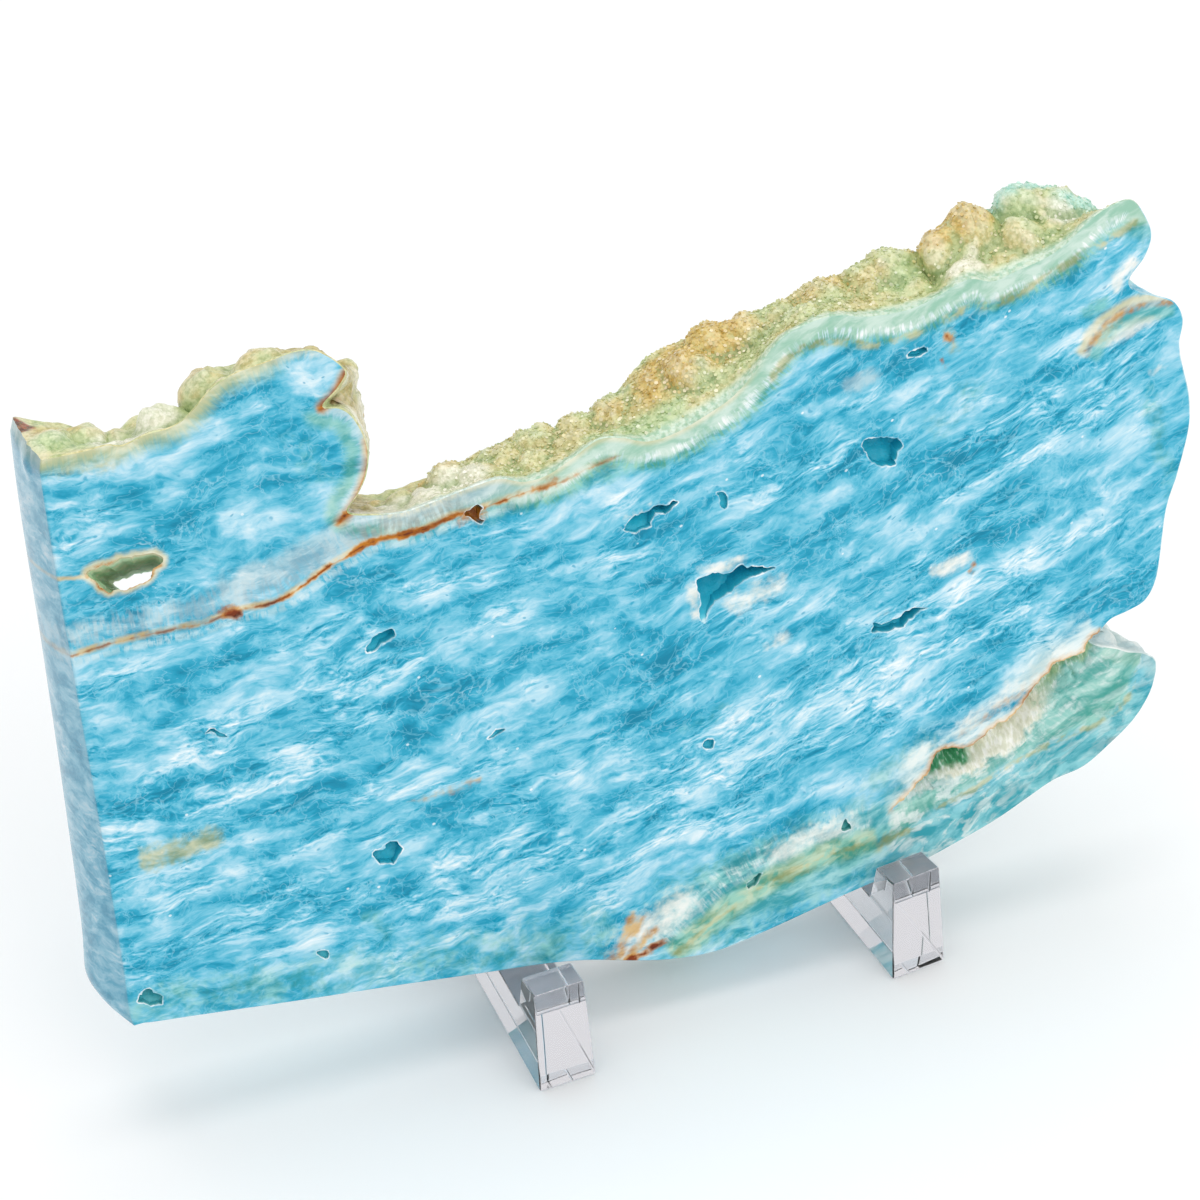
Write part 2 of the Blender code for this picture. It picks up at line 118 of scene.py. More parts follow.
LOBE = [
    (134.6, 64.0, 0.0, 0.0), (137.4, 62.8, 0.0, -2.6), (140.2, 61.6, -1.0, -3.6),
    (142.6, 60.2, -1.6, -3.0), (146.0, 59.0, -2.0, -1.6), (148.8, 56.2, -2.6, -1.6),
    (148.2, 51.5, -3.0, -2.0), (146.4, 47.4, -2.0, 0.0), (143.0, 43.0, -1.0, 0.0),
    (138.0, 39.0, 0.0, 0.0), (131.0, 34.5, 0.0, 0.0), (124.0, 33.0, 0.0, 0.0),
    (117.0, 29.8, 0.0, 0.0), (110.0, 26.6, 0.0, 0.0),
]
BELLY = [
    (100.0, 23.2, 0.0, 0.0), (92.0, 20.8, 0.0, -0.6), (86.0, 19.5, 0.0, 0.3),
    (79.0, 18.3, 0.0, 1.2), (70.0, 16.4, 0.0, 0.6), (60.0, 14.2, 0.0, 0.0), (50.0, 12.2, 0.0, 0.0),
    (43.0, 11.6, 0.0, 0.0), (35.0, 12.5, 0.0, 0.0), (27.0, 14.5, 0.0, 0.0),
    (18.0, 17.3, 0.0, 0.9), (12.6, 18.5, 0.0, 1.0), (6.0, 19.6, 0.0, 0.0), (-8.0, 21.3, 0.0, -1.2),
    (-25.0, 23.4, 0.0, 0.0), (-45.0, 25.7, 0.0, 0.0), (-65.0, 28.2, 0.0, 0.0),
    (-77.6, 29.8, -4.6, 0.4),
]
print(len(SAWN_END + LEFT_CRUST + HUMP + CRUST + RIGHT_EDGE + LOBE + BELLY), "outline points")

# %% [markdown]
# A Catmull-Rom curve passes through every point it is given, which suits an outline read from a
# photo. The natural edges get a point about every half millimetre, because the crust's lumps grow
# from them. The sawn edges are plain, so they need far fewer.

# %% Smooth curves through drawn points
CRUST_STEP = 0.62
SAWN_STEP = 1.6


def curve_through(rows, step, closed=True):
    """Points about one step apart on a smooth curve through the rows. A step may be given for each row."""
    rows = np.asarray(rows, float)
    count = len(rows)
    steps = np.broadcast_to(step, count)
    pieces_of_curve = []
    for i in range(count if closed else count - 1):
        if closed:
            a, b, c, d = rows[[(i - 1) % count, i, (i + 1) % count, (i + 2) % count]]
        else:
            a, b, c, d = rows[[max(i - 1, 0), i, i + 1, min(i + 2, count - 1)]]
        number = max(1, round(math.dist(b[:2], c[:2]) / steps[i]))
        t = np.arange(number)[:, None] / number
        bend = (2 * a - 5 * b + 4 * c - d) * t**2 + (3 * b - a - 3 * c + d) * t**3
        pieces_of_curve.append(b + 0.5 * ((c - a) * t + bend))
    if not closed:
        pieces_of_curve.append(rows[-1:])
    return np.vstack(pieces_of_curve)


def flagged(rows, natural):
    return [(*row, natural) for row in rows]


outline_rows = (
    flagged(SAWN_END, 0.0) + flagged(LEFT_CRUST + HUMP + CRUST, 1.0)
    + flagged(RIGHT_EDGE + LOBE[:6], 0.6) + flagged(LOBE[6:] + BELLY, 0.0)
)
row_steps = [CRUST_STEP if row[4] > 0.0 else SAWN_STEP for row in outline_rows]
outline = curve_through(outline_rows, row_steps)
natural = np.clip(outline[:, 4], 0.0, 1.0)
print(len(outline), "points on the outline,", int((natural > 0.5).sum()), "of them on natural edges")

# %% [markdown]
# The crust is made of round balls of druse. Each ball of the list pushes the slab's edge outward to
# its own surface, and the highest ball wins, which gives round lumps with sharp creases between them.
# A second, finer layer of balls is scattered over the first with a fixed seed, and a little noise
# breaks up what is left smooth.

# %% The balls of the druse crust
# Each ball is (u, v, w, radius).
DRUSE_BALLS = [
    (-73.0, 156.0, 9.0, 5.5), (-66.0, 153.4, 13.0, 5.5), (-61.0, 152.5, 6.0, 5.0), (-59.6, 150.6, 14.0, 5.6),
    (-51.4, 155.6, 10.0, 5.2), (-39.6, 156.8, 15.0, 7.2), (-29.0, 159.0, 12.0, 8.0),
    (-21.5, 157.5, 12.0, 7.5), (-17.3, 151.0, 11.5, 6.2), (-18.4, 156.4, 9.5, 5.2),
    (-11.0, 123.6, 8.0, 5.5), (-6.0, 124.2, 13.0, 5.0), (-1.0, 125.6, 8.0, 5.5),
    (5.0, 127.0, 14.0, 6.0), (10.0, 127.6, 9.0, 6.0), (16.5, 127.8, 14.0, 6.0),
    (21.0, 128.6, 7.0, 5.5), (24.0, 129.0, 15.0, 6.5), (31.0, 130.0, 8.0, 6.5),
    (33.0, 130.2, 16.0, 6.0), (40.5, 132.0, 16.0, 6.0), (46.0, 132.4, 11.0, 5.5),
    (50.5, 135.4, 16.0, 6.5), (57.0, 140.0, 12.0, 7.0), (63.5, 142.0, 16.0, 7.5),
    (57.0, 135.5, 6.0, 5.0), (70.5, 144.4, 15.0, 6.0), (77.0, 144.2, 15.0, 6.5),
    (80.0, 147.0, 7.0, 6.0), (87.5, 147.5, 14.0, 6.5), (89.5, 146.6, 6.0, 5.0),
    (96.0, 149.0, 15.0, 6.5), (99.0, 146.6, 7.0, 5.0), (101.0, 151.4, 15.5, 6.0),
    (104.5, 148.8, 8.0, 4.5), (106.0, 147.8, 14.0, 6.4), (114.4, 150.6, 5.4, 5.4),
    (119.0, 157.2, 14.0, 6.2), (111.8, 154.2, 13.0, 5.6), (127.6, 155.2, 8.4, 5.6),
    (130.5, 158.4, 17.0, 6.0), (134.5, 153.5, 9.0, 5.0), (137.0, 157.4, 16.0, 5.6),
    (142.0, 154.5, 15.0, 5.2), (139.0, 58.0, 8.0, 4.5), (144.0, 54.6, 6.0, 4.5),
]
CREASE_SOFTNESS = 0.4


def push_to_balls(points, outward, balls, softness):
    """How far each point goes outward to reach the balls. A little softness rounds the creases between them."""
    balls = np.asarray(balls, float)
    away = points[:, None, :] - balls[None, :, :3]
    along = np.einsum("pbc,pc->pb", away, outward)
    radius = balls[:, 3]
    aside = np.maximum((away**2).sum(axis=2) - along**2, 0.0) / radius**2
    rise = radius * (1.0 - 0.5 * aside - 0.5 * aside**2) - along
    rise = np.where((away**2).sum(axis=2) < 4.0 * radius**2, rise, -10.0)
    return softness * np.log1p(np.exp(np.clip(rise / softness, -30.0, 30.0)).sum(axis=1))


def noise_at(points, size, seed):
    """Smooth noise from -1 to 1 at each point, whose bumps are about size millimetres across."""
    shift = Vector((17.3 * seed, 5.1 * seed, 9.7 * seed))
    return np.array([noise.noise(Vector(point) / size + shift) for point in points])


# %% [markdown]
# The slab's rim runs from the front outline to the back one. It is a grid of points, one ring for
# each depth. A small chamfer at both ends is what a lapidary leaves on a polished edge, and it gives
# the edge its thin line of light.

# %% The rim of the slab as a grid of rings
CHAMFER = 0.3
RING_STEP = 0.52
SMALL_BALL_RADII = (1.0, 2.6)
SMALL_BALLS = 480
SMALL_CREASE_SOFTNESS = 0.2
NORMAL_REACH = 3

behind = np.roll(outline, NORMAL_REACH, axis=0)
ahead = np.roll(outline, -NORMAL_REACH, axis=0)
along_edge = ahead[:, :2] - behind[:, :2]
outward = np.stack([-along_edge[:, 1], along_edge[:, 0], np.zeros(len(outline))], axis=1)
outward /= np.linalg.norm(outward, axis=1)[:, None]

ring_depths = np.concatenate([
    [0.0, CHAMFER],
    np.linspace(2 * CHAMFER, SLAB_THICKNESS - 2 * CHAMFER, round(SLAB_THICKNESS / RING_STEP)),
    [SLAB_THICKNESS - CHAMFER, SLAB_THICKNESS],
])


def edge_ring(depth):
    """The slab's edge at this depth, before any lumps."""
    eased = math.sin(depth / SLAB_THICKNESS * math.pi / 2)
    return np.stack([
        outline[:, 0] + outline[:, 2] * eased,
        outline[:, 1] + outline[:, 3] * eased,
        np.full(len(outline), depth),
    ], axis=1)


rim = np.array([edge_ring(depth) for depth in ring_depths])
near_front = np.clip(ring_depths / 3.0, 0.0, 1.0)
for ring, ramp in zip(rim, near_front):
    ring += outward * (push_to_balls(ring, outward, DRUSE_BALLS, CREASE_SOFTNESS) * ramp)[:, None]
print("rim grid:", rim.shape[:2], "rings by points")

# %% Scatter the small balls over the big ones
random = np.random.default_rng(11)
crust_columns = np.flatnonzero(natural > 0.8)
small_balls = []
for _ in range(SMALL_BALLS):
    column = random.choice(crust_columns)
    ring_index = random.integers(5, len(ring_depths) - 2)
    radius = random.uniform(*SMALL_BALL_RADII)
    centre = rim[ring_index, column] - outward[column] * radius * random.uniform(0.66, 0.92)
    small_balls.append((*centre, radius))
for ring, ramp in zip(rim, np.clip((ring_depths - 0.8) / 2.5, 0.0, 1.0)):
    ring += outward * (push_to_balls(ring, outward, small_balls, SMALL_CREASE_SOFTNESS) * ramp)[:, None]
    grain = 0.16 * noise_at(ring, 0.9, 1) + 0.22 * noise_at(ring, 2.2, 2)
    worn = 0.8 * noise_at(ring, 7.0, 3) + 0.4 * noise_at(ring, 2.2, 4)
    worn_share = np.where(natural > 0.8, 0.0, np.clip(natural / 0.6, 0.0, 1.0))
    rough = grain * np.clip((natural - 0.5) / 0.4, 0.0, 1.0) + worn * worn_share
    ring += outward * (rough * ramp)[:, None]
for end in (0, -1):
    rim[end] -= outward * CHAMFER
print(len(small_balls), "small balls")

# %% [markdown]
# Pits, the cleft and the hole are hollows in the polished face. A hollow here is a closed loop on
# the face with a depth: the face inside the loop is lowered, and a wall joins it to the rim of the
# loop. The photo shows that most pits are scoops, deep under their upper edge and shallow below, so
# the depth falls off towards one side.

# %% The hole, the cleft and the pits
HOLE_OUTLINE = [
    (-71.6, 133.6), (-71.0, 134.8), (-67.0, 135.1), (-64.4, 136.1), (-61.6, 135.6),
    (-58.2, 135.2), (-56.6, 134.0), (-58.2, 131.8), (-60.2, 130.0), (-63.2, 129.4),
    (-66.4, 129.2), (-68.6, 129.8), (-69.6, 131.8),
]
HOLE_DRIFT = (4.0, -13.7)
HOLE_END_SCALE = 0.64

CLEFT_UPPER_EDGE = [
    (134.4, 65.9), (132.6, 63.9), (130.8, 62.3), (127.0, 61.7), (124.8, 60.5),
    (122.0, 58.4), (119.6, 55.6), (117.0, 52.8), (113.6, 50.7), (110.0, 49.0), (106.6, 47.2),
    (102.8, 46.8), (99.4, 47.8), (97.2, 45.4), (94.8, 41.9), (91.6, 39.4),
]
CLEFT_TIP = (86.6, 35.6)
CLEFT_LOWER_EDGE = [
    (92.0, 36.6), (97.0, 38.2), (102.0, 38.6), (107.0, 39.0), (112.0, 40.8), (117.0, 43.6),
    (121.0, 47.0), (124.5, 50.8), (129.0, 54.8), (133.0, 58.6),
]
# Depth of the cleft's floor under its upper edge, as (u, depth).
CLEFT_DEPTHS = [
    (88.0, 2.0), (97.0, 5.5), (102.0, 9.0), (106.0, 5.5), (112.0, 6.5), (119.0, 8.0), (124.0, 5.0), (137.0, 3.0),
]

# Each pit is its depth, how much of that is left at its shallow side, and its outline.
PITS = {
    "long_pit": (6.0, 0.0, [
        (50.2, 101.2), (53.4, 102.1), (57.0, 101.5), (60.2, 102.1), (63.2, 101.1), (66.8, 100.3),
        (62.4, 99.2), (57.4, 97.9), (53.4, 95.2), (51.0, 93.2), (50.2, 91.2), (49.4, 93.2), (50.2, 97.2),
    ]),
    "low_pit": (5.0, 0.5, [
        (86.0, 80.2), (86.6, 82.1), (88.6, 81.4), (92.6, 81.8), (94.6, 83.0), (98.0, 82.6),
        (94.8, 80.6), (92.2, 79.1), (88.4, 79.0),
    ]),
    "round_pit": (5.5, 0.5, [
        (87.9, 123.2), (89.4, 124.3), (92.2, 124.0), (95.8, 122.5), (95.0, 119.2),
        (93.4, 117.2), (91.0, 117.3), (89.3, 118.8), (88.2, 121.0),
    ]),
    "upper_pit": (4.5, 0.3, [
        (36.0, 116.2), (38.0, 118.7), (42.0, 119.7), (47.6, 120.4), (46.0, 118.8),
        (42.8, 118.2), (41.0, 116.2), (38.0, 115.3),
    ]),
    "left_pit": (3.5, 0.3, [
        (-20.0, 103.5), (-19.0, 105.3), (-16.0, 106.5), (-13.4, 107.0), (-14.6, 104.7),
        (-17.0, 103.7), (-19.0, 102.5),
    ]),
    "lower_left_pit": (4.0, 0.5, [
        (-24.6, 55.4), (-23.9, 56.7), (-22.2, 57.0), (-20.4, 58.5), (-18.6, 56.5),
        (-19.5, 54.4), (-21.0, 53.0), (-24.0, 53.3),
    ]),
    "corner_pit": (3.5, 0.4, [
        (-78.2, 35.2), (-77.3, 36.1), (-75.3, 37.8), (-73.8, 36.0), (-72.6, 33.5), (-75.4, 34.0),
    ]),
    "small_upper_pit": (3.0, 0.5, [
        (98.8, 140.1), (99.4, 141.4), (102.4, 142.0), (102.7, 140.7), (101.0, 139.9),
    ]),
    "rusty_pit": (3.0, 0.5, [
        (4.2, 128.2), (5.9, 129.3), (7.9, 128.6), (7.1, 127.5), (7.7, 125.5), (5.9, 126.2),
    ]),
    "moon_pit": (1.6, 0.6, [
        (56.0, 119.8), (57.4, 120.0), (58.5, 118.2), (57.9, 116.4), (56.8, 116.6), (57.0, 118.0),
    ]),
    "dark_pit": (2.0, 0.5, [(46.8, 62.4), (48.0, 63.8), (49.4, 63.0), (48.2, 61.4)]),
    "slit_pit": (1.5, 0.4, [
        (-54.2, 93.4), (-52.6, 92.8), (-50.4, 91.4), (-50.6, 92.3), (-52.6, 93.8),
    ]),
    "wing_pit": (1.5, 0.4, [(2.4, 76.8), (4.0, 78.1), (6.6, 77.7), (4.4, 77.0)]),
    "green_pit": (2.2, 0.6, [(75.3, 33.8), (76.3, 36.4), (77.6, 33.9)]),
    "speck_pit": (1.5, 0.5, [(-39.6, 36.0), (-38.4, 37.0), (-37.0, 35.4), (-37.8, 34.6)]),
    "tooth_pit": (2.5, 0.4, [(53.4, 26.6), (55.4, 28.0), (57.4, 28.4), (56.0, 26.4), (54.0, 25.4)]),
}
LOOP_STEP = 0.55
RAGGED = 0.75


def ragged(loop, seed):
    """A loop whose points wander a little, as the broken edge of a hollow does."""
    flat = np.column_stack([loop[:, :2], np.full(len(loop), 3.0 * seed)])
    wide = np.column_stack([noise_at(flat, 2.0, 5), noise_at(flat, 2.0, 6)])
    fine = np.column_stack([noise_at(flat, 0.8, 7), noise_at(flat, 0.8, 8)])
    return loop[:, :2] + RAGGED * (wide + 0.6 * fine)


pit_loops = {
    name: ragged(curve_through(rows, LOOP_STEP), i)
    for i, (name, (depth, shallow, rows)) in enumerate(PITS.items())
}
hole_loop = ragged(curve_through(HOLE_OUTLINE, LOOP_STEP), 30)
print(len(pit_loops), "pits,", len(hole_loop), "points round the hole")

# %% [markdown]
# The cleft opens into the notch in the slab's right edge, so its loop borrows the outline's own
# points there. Its floor starts level with the lobe below it and drops away under the upper edge.

# %% The cleft's loop
front_edge = rim[0][:, :2]


def nearest(points, target):
    return int(np.argmin(np.linalg.norm(points - np.asarray(target), axis=1)))


notch_top = nearest(front_edge, (136.4, 66.4))
notch_bottom = nearest(front_edge, (137.4, 62.8))
upper_rows = [tuple(front_edge[notch_top])] + CLEFT_UPPER_EDGE + [CLEFT_TIP]
lower_rows = [CLEFT_TIP] + CLEFT_LOWER_EDGE + [tuple(front_edge[notch_bottom])]
cleft_upper = curve_through(upper_rows, LOOP_STEP, closed=False)
cleft_lower = curve_through(lower_rows, LOOP_STEP, closed=False)
cleft_upper[1:-1] = ragged(cleft_upper[1:-1], 31)
notch = front_edge[notch_top + 1:notch_bottom][::-1]
cleft_loop = np.vstack([cleft_upper, cleft_lower[1:], notch])
print(len(cleft_loop), "points round the cleft")

# %% [markdown]
# Two plain measuring helpers come next. One asks which points lie inside a loop, by counting how
# often a line to the right crosses it. The other measures how far points are from a drawn path, and
# gives the distance a sign: positive on the left of the path as one walks along it. It also says how
# far along the path each point lies, so that a comb of crystals can follow the path.

# %% Measuring helpers
CHUNK = 4000


def inside(points, loop):
    """True for each point inside the closed loop."""
    start = loop
    end = np.roll(loop, -1, axis=0)
    result = np.zeros(len(points), bool)
    for first in range(0, len(points), CHUNK):
        u = points[first:first + CHUNK, 0][:, None]
        v = points[first:first + CHUNK, 1][:, None]
        straddles = (start[:, 1] > v) != (end[:, 1] > v)
        rise = np.where(end[:, 1] == start[:, 1], 1e-9, end[:, 1] - start[:, 1])
        crossing = (end[:, 0] - start[:, 0]) * (v - start[:, 1]) / rise + start[:, 0]
        result[first:first + CHUNK] = (straddles & (u < crossing)).sum(axis=1) % 2 == 1
    return result


def beside(points, path, closed=False):
    """For each point (u, v): distance from the path, positive on its left, how far along it, how far past its ends."""
    path = np.asarray(path, float)[:, :2]
    start = path if closed else path[:-1]
    span = (np.roll(path, -1, axis=0) if closed else path[1:]) - start
    length = np.maximum(np.linalg.norm(span, axis=1), 1e-9)
    walked = np.concatenate([[0.0], np.cumsum(length)])[:-1]
    last = len(start) - 1
    result = np.zeros((len(points), 3))
    for first in range(0, len(points), CHUNK):
        offset = points[first:first + CHUNK, None, :2] - start
        share = (offset * span).sum(axis=2) / length**2
        gap = offset - span * np.clip(share, 0.0, 1.0)[..., None]
        far = np.sqrt((gap**2).sum(axis=2))
        best = far.argmin(axis=1)
        rows = np.arange(len(best))
        share = share[rows, best]
        turn = span[best, 0] * offset[rows, best, 1] - span[best, 1] * offset[rows, best, 0]
        before = np.where(best == 0, -share, 0.0)
        after = np.where(best == last, share - 1.0, 0.0)
        past = 0.0 if closed else np.maximum(np.maximum(before, after), 0.0) * length[best]
        side = np.where(turn < 0.0, -1.0, 1.0)
        run = walked[best] + np.clip(share, 0.0, 1.0) * length[best]
        result[first:first + CHUNK] = np.column_stack([far[rows, best] * side, run, np.broadcast_to(past, len(best))])
    return result


def distance_to(points, path, closed=False):
    return np.abs(beside(points, path, closed)[:, 0])


def smooth_step(value, low, high):
    t = np.clip((value - low) / (high - low), 0.0, 1.0)
    return t * t * (3.0 - 2.0 * t)


# %% How deep each hollow is
def pit_depth(name, points):
    """Depth of this pit's floor. It falls off from the pit's upper side to its lower side."""
    depth, shallow, rows = PITS[name]
    loop = pit_loops[name]
    up = (points[:, 1] - loop[:, 1].min()) / (loop[:, 1].max() - loop[:, 1].min())
    slope = shallow + (1.0 - shallow) * smooth_step(up, 0.0, 0.75)
    flat = np.column_stack([points, np.zeros(len(points))])
    return depth * slope * (1.0 + 0.12 * noise_at(flat, 1.6, 8))


def cleft_depth(points):
    """Depth of the cleft's floor, level at the lobe and deepest under the upper edge, with ridges across it."""
    to_upper, run = np.abs(beside(points, cleft_upper)[:, :2]).T
    to_lower = distance_to(points, cleft_lower)
    share = to_lower / np.maximum(to_upper + to_lower, 1e-6)
    opening = smooth_step(to_upper + to_lower, 0.0, 4.0)
    deep = np.interp(points[:, 0], *zip(*CLEFT_DEPTHS))
    ridges = 1.5 * noise_at(np.column_stack([run, to_upper / 3.0, 0.0 * run]), 1.9, 9)
    flat = np.column_stack([points, np.zeros(len(points))])
    lumps = ridges + 0.7 * noise_at(flat, 2.4, 10) + 0.35 * noise_at(flat, 0.9, 11)
    return opening * (deep * smooth_step(share, 0.0, 1.0) + lumps * smooth_step(share, 0.0, 0.25))


# %% [markdown]
# The polished face is one flat sheet with loops in it. Delaunay triangulation fills it with even
# triangles and keeps every loop as a row of edges. The face itself is flat, so it needs its points
# only to carry measurements for the material. The floors of the hollows get a finer grid.

# %% Fill a sheet with triangles
FACE_GRID = 1.5
BACK_GRID = 2.6
HOLLOW_GRID = 0.5


def grid_points(low, high, spacing):
    """A staggered grid of points over a box."""
    rise = spacing * math.sqrt(3) / 2
    rows = np.arange(low[1], high[1], rise)
    columns = np.arange(low[0], high[0], spacing)
    u, v = np.meshgrid(columns, rows)
    u = u + np.where(np.arange(len(rows)) % 2, spacing / 2, 0.0)[:, None]
    return np.stack([u.ravel(), v.ravel()], axis=1)


def clear_of(points, others, gap):
    tree = kdtree.KDTree(len(others))
    for i, (u, v) in enumerate(others):
        tree.insert((u, v, 0.0), i)
    tree.balance()
    return np.array([tree.find((u, v, 0.0))[2] > gap for u, v in points], bool)


def filled_sheet(loops, paths, grids):
    """Points and triangles that fill the first loop. All loops and paths are kept as edges."""
    points = []
    edges = []
    for line, closed in [(loop, True) for loop in loops] + [(path, False) for path in paths]:
        first = len(points)
        points += [tuple(point) for point in line]
        count = len(line)
        edges += [(first + i, first + (i + 1) % count) for i in range(count if closed else count - 1)]
    drawn = np.array(points)
    for grid, spacing in grids:
        kept = grid[clear_of(grid, drawn, 0.45 * spacing)]
        points += [tuple(point) for point in kept]
    vectors = [Vector(point) for point in points]
    made = geometry.delaunay_2d_cdt(vectors, edges, [], 0, 1e-5, True)
    corners = np.array([tuple(point) for point in made[0]])
    triangles = np.array([tuple(face) for face in made[2]])
    middles = corners[triangles].mean(axis=1)
    return corners, triangles[inside(middles, loops[0])]


low, high = front_edge.min(axis=0), front_edge.max(axis=0)
face_grid = grid_points(low, high, FACE_GRID)
face_grid = face_grid[inside(face_grid, front_edge)]
hollow_loops = list(pit_loops.values()) + [cleft_loop]
grids = []
plain = ~inside(face_grid, hole_loop)
for loop in hollow_loops:
    plain &= ~inside(face_grid, loop)
    fine = grid_points(loop.min(axis=0), loop.max(axis=0), HOLLOW_GRID)
    grids.append((fine[inside(fine, loop)], HOLLOW_GRID))
grids.append((face_grid[plain], FACE_GRID))
face_points, face_triangles = filled_sheet(
    [front_edge, hole_loop] + list(pit_loops.values()), [cleft_upper, cleft_lower], grids
)
print(len(face_points), "points and", len(face_triangles), "triangles on the polished face")

# %% [markdown]
# Now the slab is put together from its sheets: the face, the floors and walls of its hollows, the
# tunnel of the hole, the rim and the back. Each is added with its own points, and points in the same
# place are merged at the end, so the slab is one closed skin.

# %% Collect the slab's sheets
FACE, CRUST_SIDE, SAWN_SIDE, HOLLOW, TUNNEL, CLEFT, WORN_SIDE = range(7)
sheets = {"points": [], "faces": [], "kind": [], "relief": []}


def add_sheet(points, faces, kind, relief=0.0):
    first = sum(len(block) for block in sheets["points"])
    sheets["points"].append(np.asarray(points, float))
    sheets["faces"] += [tuple(int(corner) + first for corner in face) for face in faces]
    sheets["kind"] += [kind] * len(faces) if isinstance(kind, int) else list(kind)
    sheets["relief"].append(np.broadcast_to(relief, len(points)).astype(float))


def at_depth(points, depth):
    return np.column_stack([points, np.broadcast_to(depth, len(points))])


middles = face_points[face_triangles].mean(axis=1)
plain = ~inside(middles, hole_loop)
hollows = {name: (loop, lambda points, name=name: pit_depth(name, points), HOLLOW)
           for name, loop in pit_loops.items()}
hollows["cleft"] = (cleft_loop, cleft_depth, CLEFT)
for name, (loop, depth_at, kind) in hollows.items():
    member = inside(middles, loop)
    plain &= ~member
    used, corners = np.unique(face_triangles[member], return_inverse=True)
    floor = face_points[used]
    add_sheet(at_depth(floor, depth_at(floor)), corners.reshape(-1, 3)[:, ::-1], kind)
    wall_line = cleft_upper if name == "cleft" else np.vstack([loop, loop[:1]])
    bottom = depth_at(wall_line)
    levels = 4
    wall = np.vstack([at_depth(wall_line, bottom * k / levels) for k in range(levels + 1)])
    count = len(wall_line)
    quads = [(k * count + i, k * count + i + 1, (k + 1) * count + i + 1, (k + 1) * count + i)
             for k in range(levels) for i in range(count - 1)]
    add_sheet(wall, quads, kind)
used, corners = np.unique(face_triangles[plain], return_inverse=True)
add_sheet(at_depth(face_points[used], 0.0), corners.reshape(-1, 3)[:, ::-1], FACE)
print(len(hollows), "hollows and the face:", len(sheets["faces"]), "faces so far")

# %% [markdown]
# The hole slants down as it goes back, because the layers of the stone do. Its tunnel is a stack of
# shrinking copies of the loop, roughened with noise.

# %% The tunnel of the hole
TUNNEL_RINGS = 22
centre = hole_loop.mean(axis=0)
tunnel = []
for k in range(TUNNEL_RINGS + 1):
    share = k / TUNNEL_RINGS
    scale = 1.0 + (HOLE_END_SCALE - 1.0) * share
    ring = centre + (hole_loop - centre) * scale + np.array(HOLE_DRIFT) * share
    ring = at_depth(ring, share * SLAB_THICKNESS)
    roughness = 0.55 * min(1.0, 4 * share) * min(1.0, 4 * (1 - share))
    direction = at_depth(ring[:, :2] - centre - np.array(HOLE_DRIFT) * share, 0.0)
    direction /= np.linalg.norm(direction, axis=1)[:, None]
    tunnel.append(ring + direction * (noise_at(ring, 1.8, 12) * roughness)[:, None])
count = len(hole_loop)
quads = [(k * count + i, k * count + (i + 1) % count, (k + 1) * count + (i + 1) % count, (k + 1) * count + i)
         for k in range(TUNNEL_RINGS) for i in range(count)]
add_sheet(np.vstack(tunnel), quads, TUNNEL)
hole_back = tunnel[-1][:, :2]
print(len(quads), "quads in the tunnel")

# %% The rim and the back
notch_columns = range(notch_top, notch_bottom + 1)
notch_depth = cleft_depth(front_edge[notch_columns])
for column, start_depth in zip(notch_columns, notch_depth):
    start_depth = max(start_depth, 0.0)
    share = ring_depths / SLAB_THICKNESS
    rim[:, column, 2] = start_depth + share * (SLAB_THICKNESS - start_depth)


def local_height(grid, reach=5):
    """How far each rim point stands above the average of its surroundings."""
    total = np.zeros(grid.shape)
    padded = np.pad(grid, ((reach, reach), (0, 0), (0, 0)), mode="edge")
    for step in range(-reach, reach + 1):
        total += padded[reach + step:reach + step + len(grid)]
    average = total / (2 * reach + 1)
    wide = np.zeros(grid.shape)
    for step in range(-reach, reach + 1):
        wide += np.roll(average, step, axis=1)
    return ((grid - wide / (2 * reach + 1)) * outward).sum(axis=2)


count = len(outline)
rings = len(ring_depths)
column_kind = np.where(natural > 0.8, CRUST_SIDE, np.where(natural > 0.3, WORN_SIDE, SAWN_SIDE))
quads = [(k * count + i, (k + 1) * count + i, (k + 1) * count + (i + 1) % count, k * count + (i + 1) % count)
         for k in range(rings - 1) for i in range(count)]
kinds = [int(column_kind[i]) for k in range(rings - 1) for i in range(count)]
add_sheet(rim.reshape(-1, 3), quads, kinds, relief=local_height(rim).reshape(-1))

back_edge = rim[-1][:, :2]
back_grid = grid_points(back_edge.min(axis=0), back_edge.max(axis=0), BACK_GRID)
back_grid = back_grid[inside(back_grid, back_edge) & ~inside(back_grid, hole_back)]
back_points, back_triangles = filled_sheet([back_edge, hole_back], [], [(back_grid, BACK_GRID)])
back_triangles = back_triangles[~inside(back_points[back_triangles].mean(axis=1), hole_back)]
add_sheet(at_depth(back_points, SLAB_THICKNESS), back_triangles, FACE)
print(len(sheets["faces"]), "faces in all")

# %% [markdown]
# The sheets become one mesh. Every point keeps its place in the stone's frame as an attribute,
# because the material will ask for it, and only then is the slab stood up in its lean.

# %% Weld the sheets into one skin
MERGE = 0.002


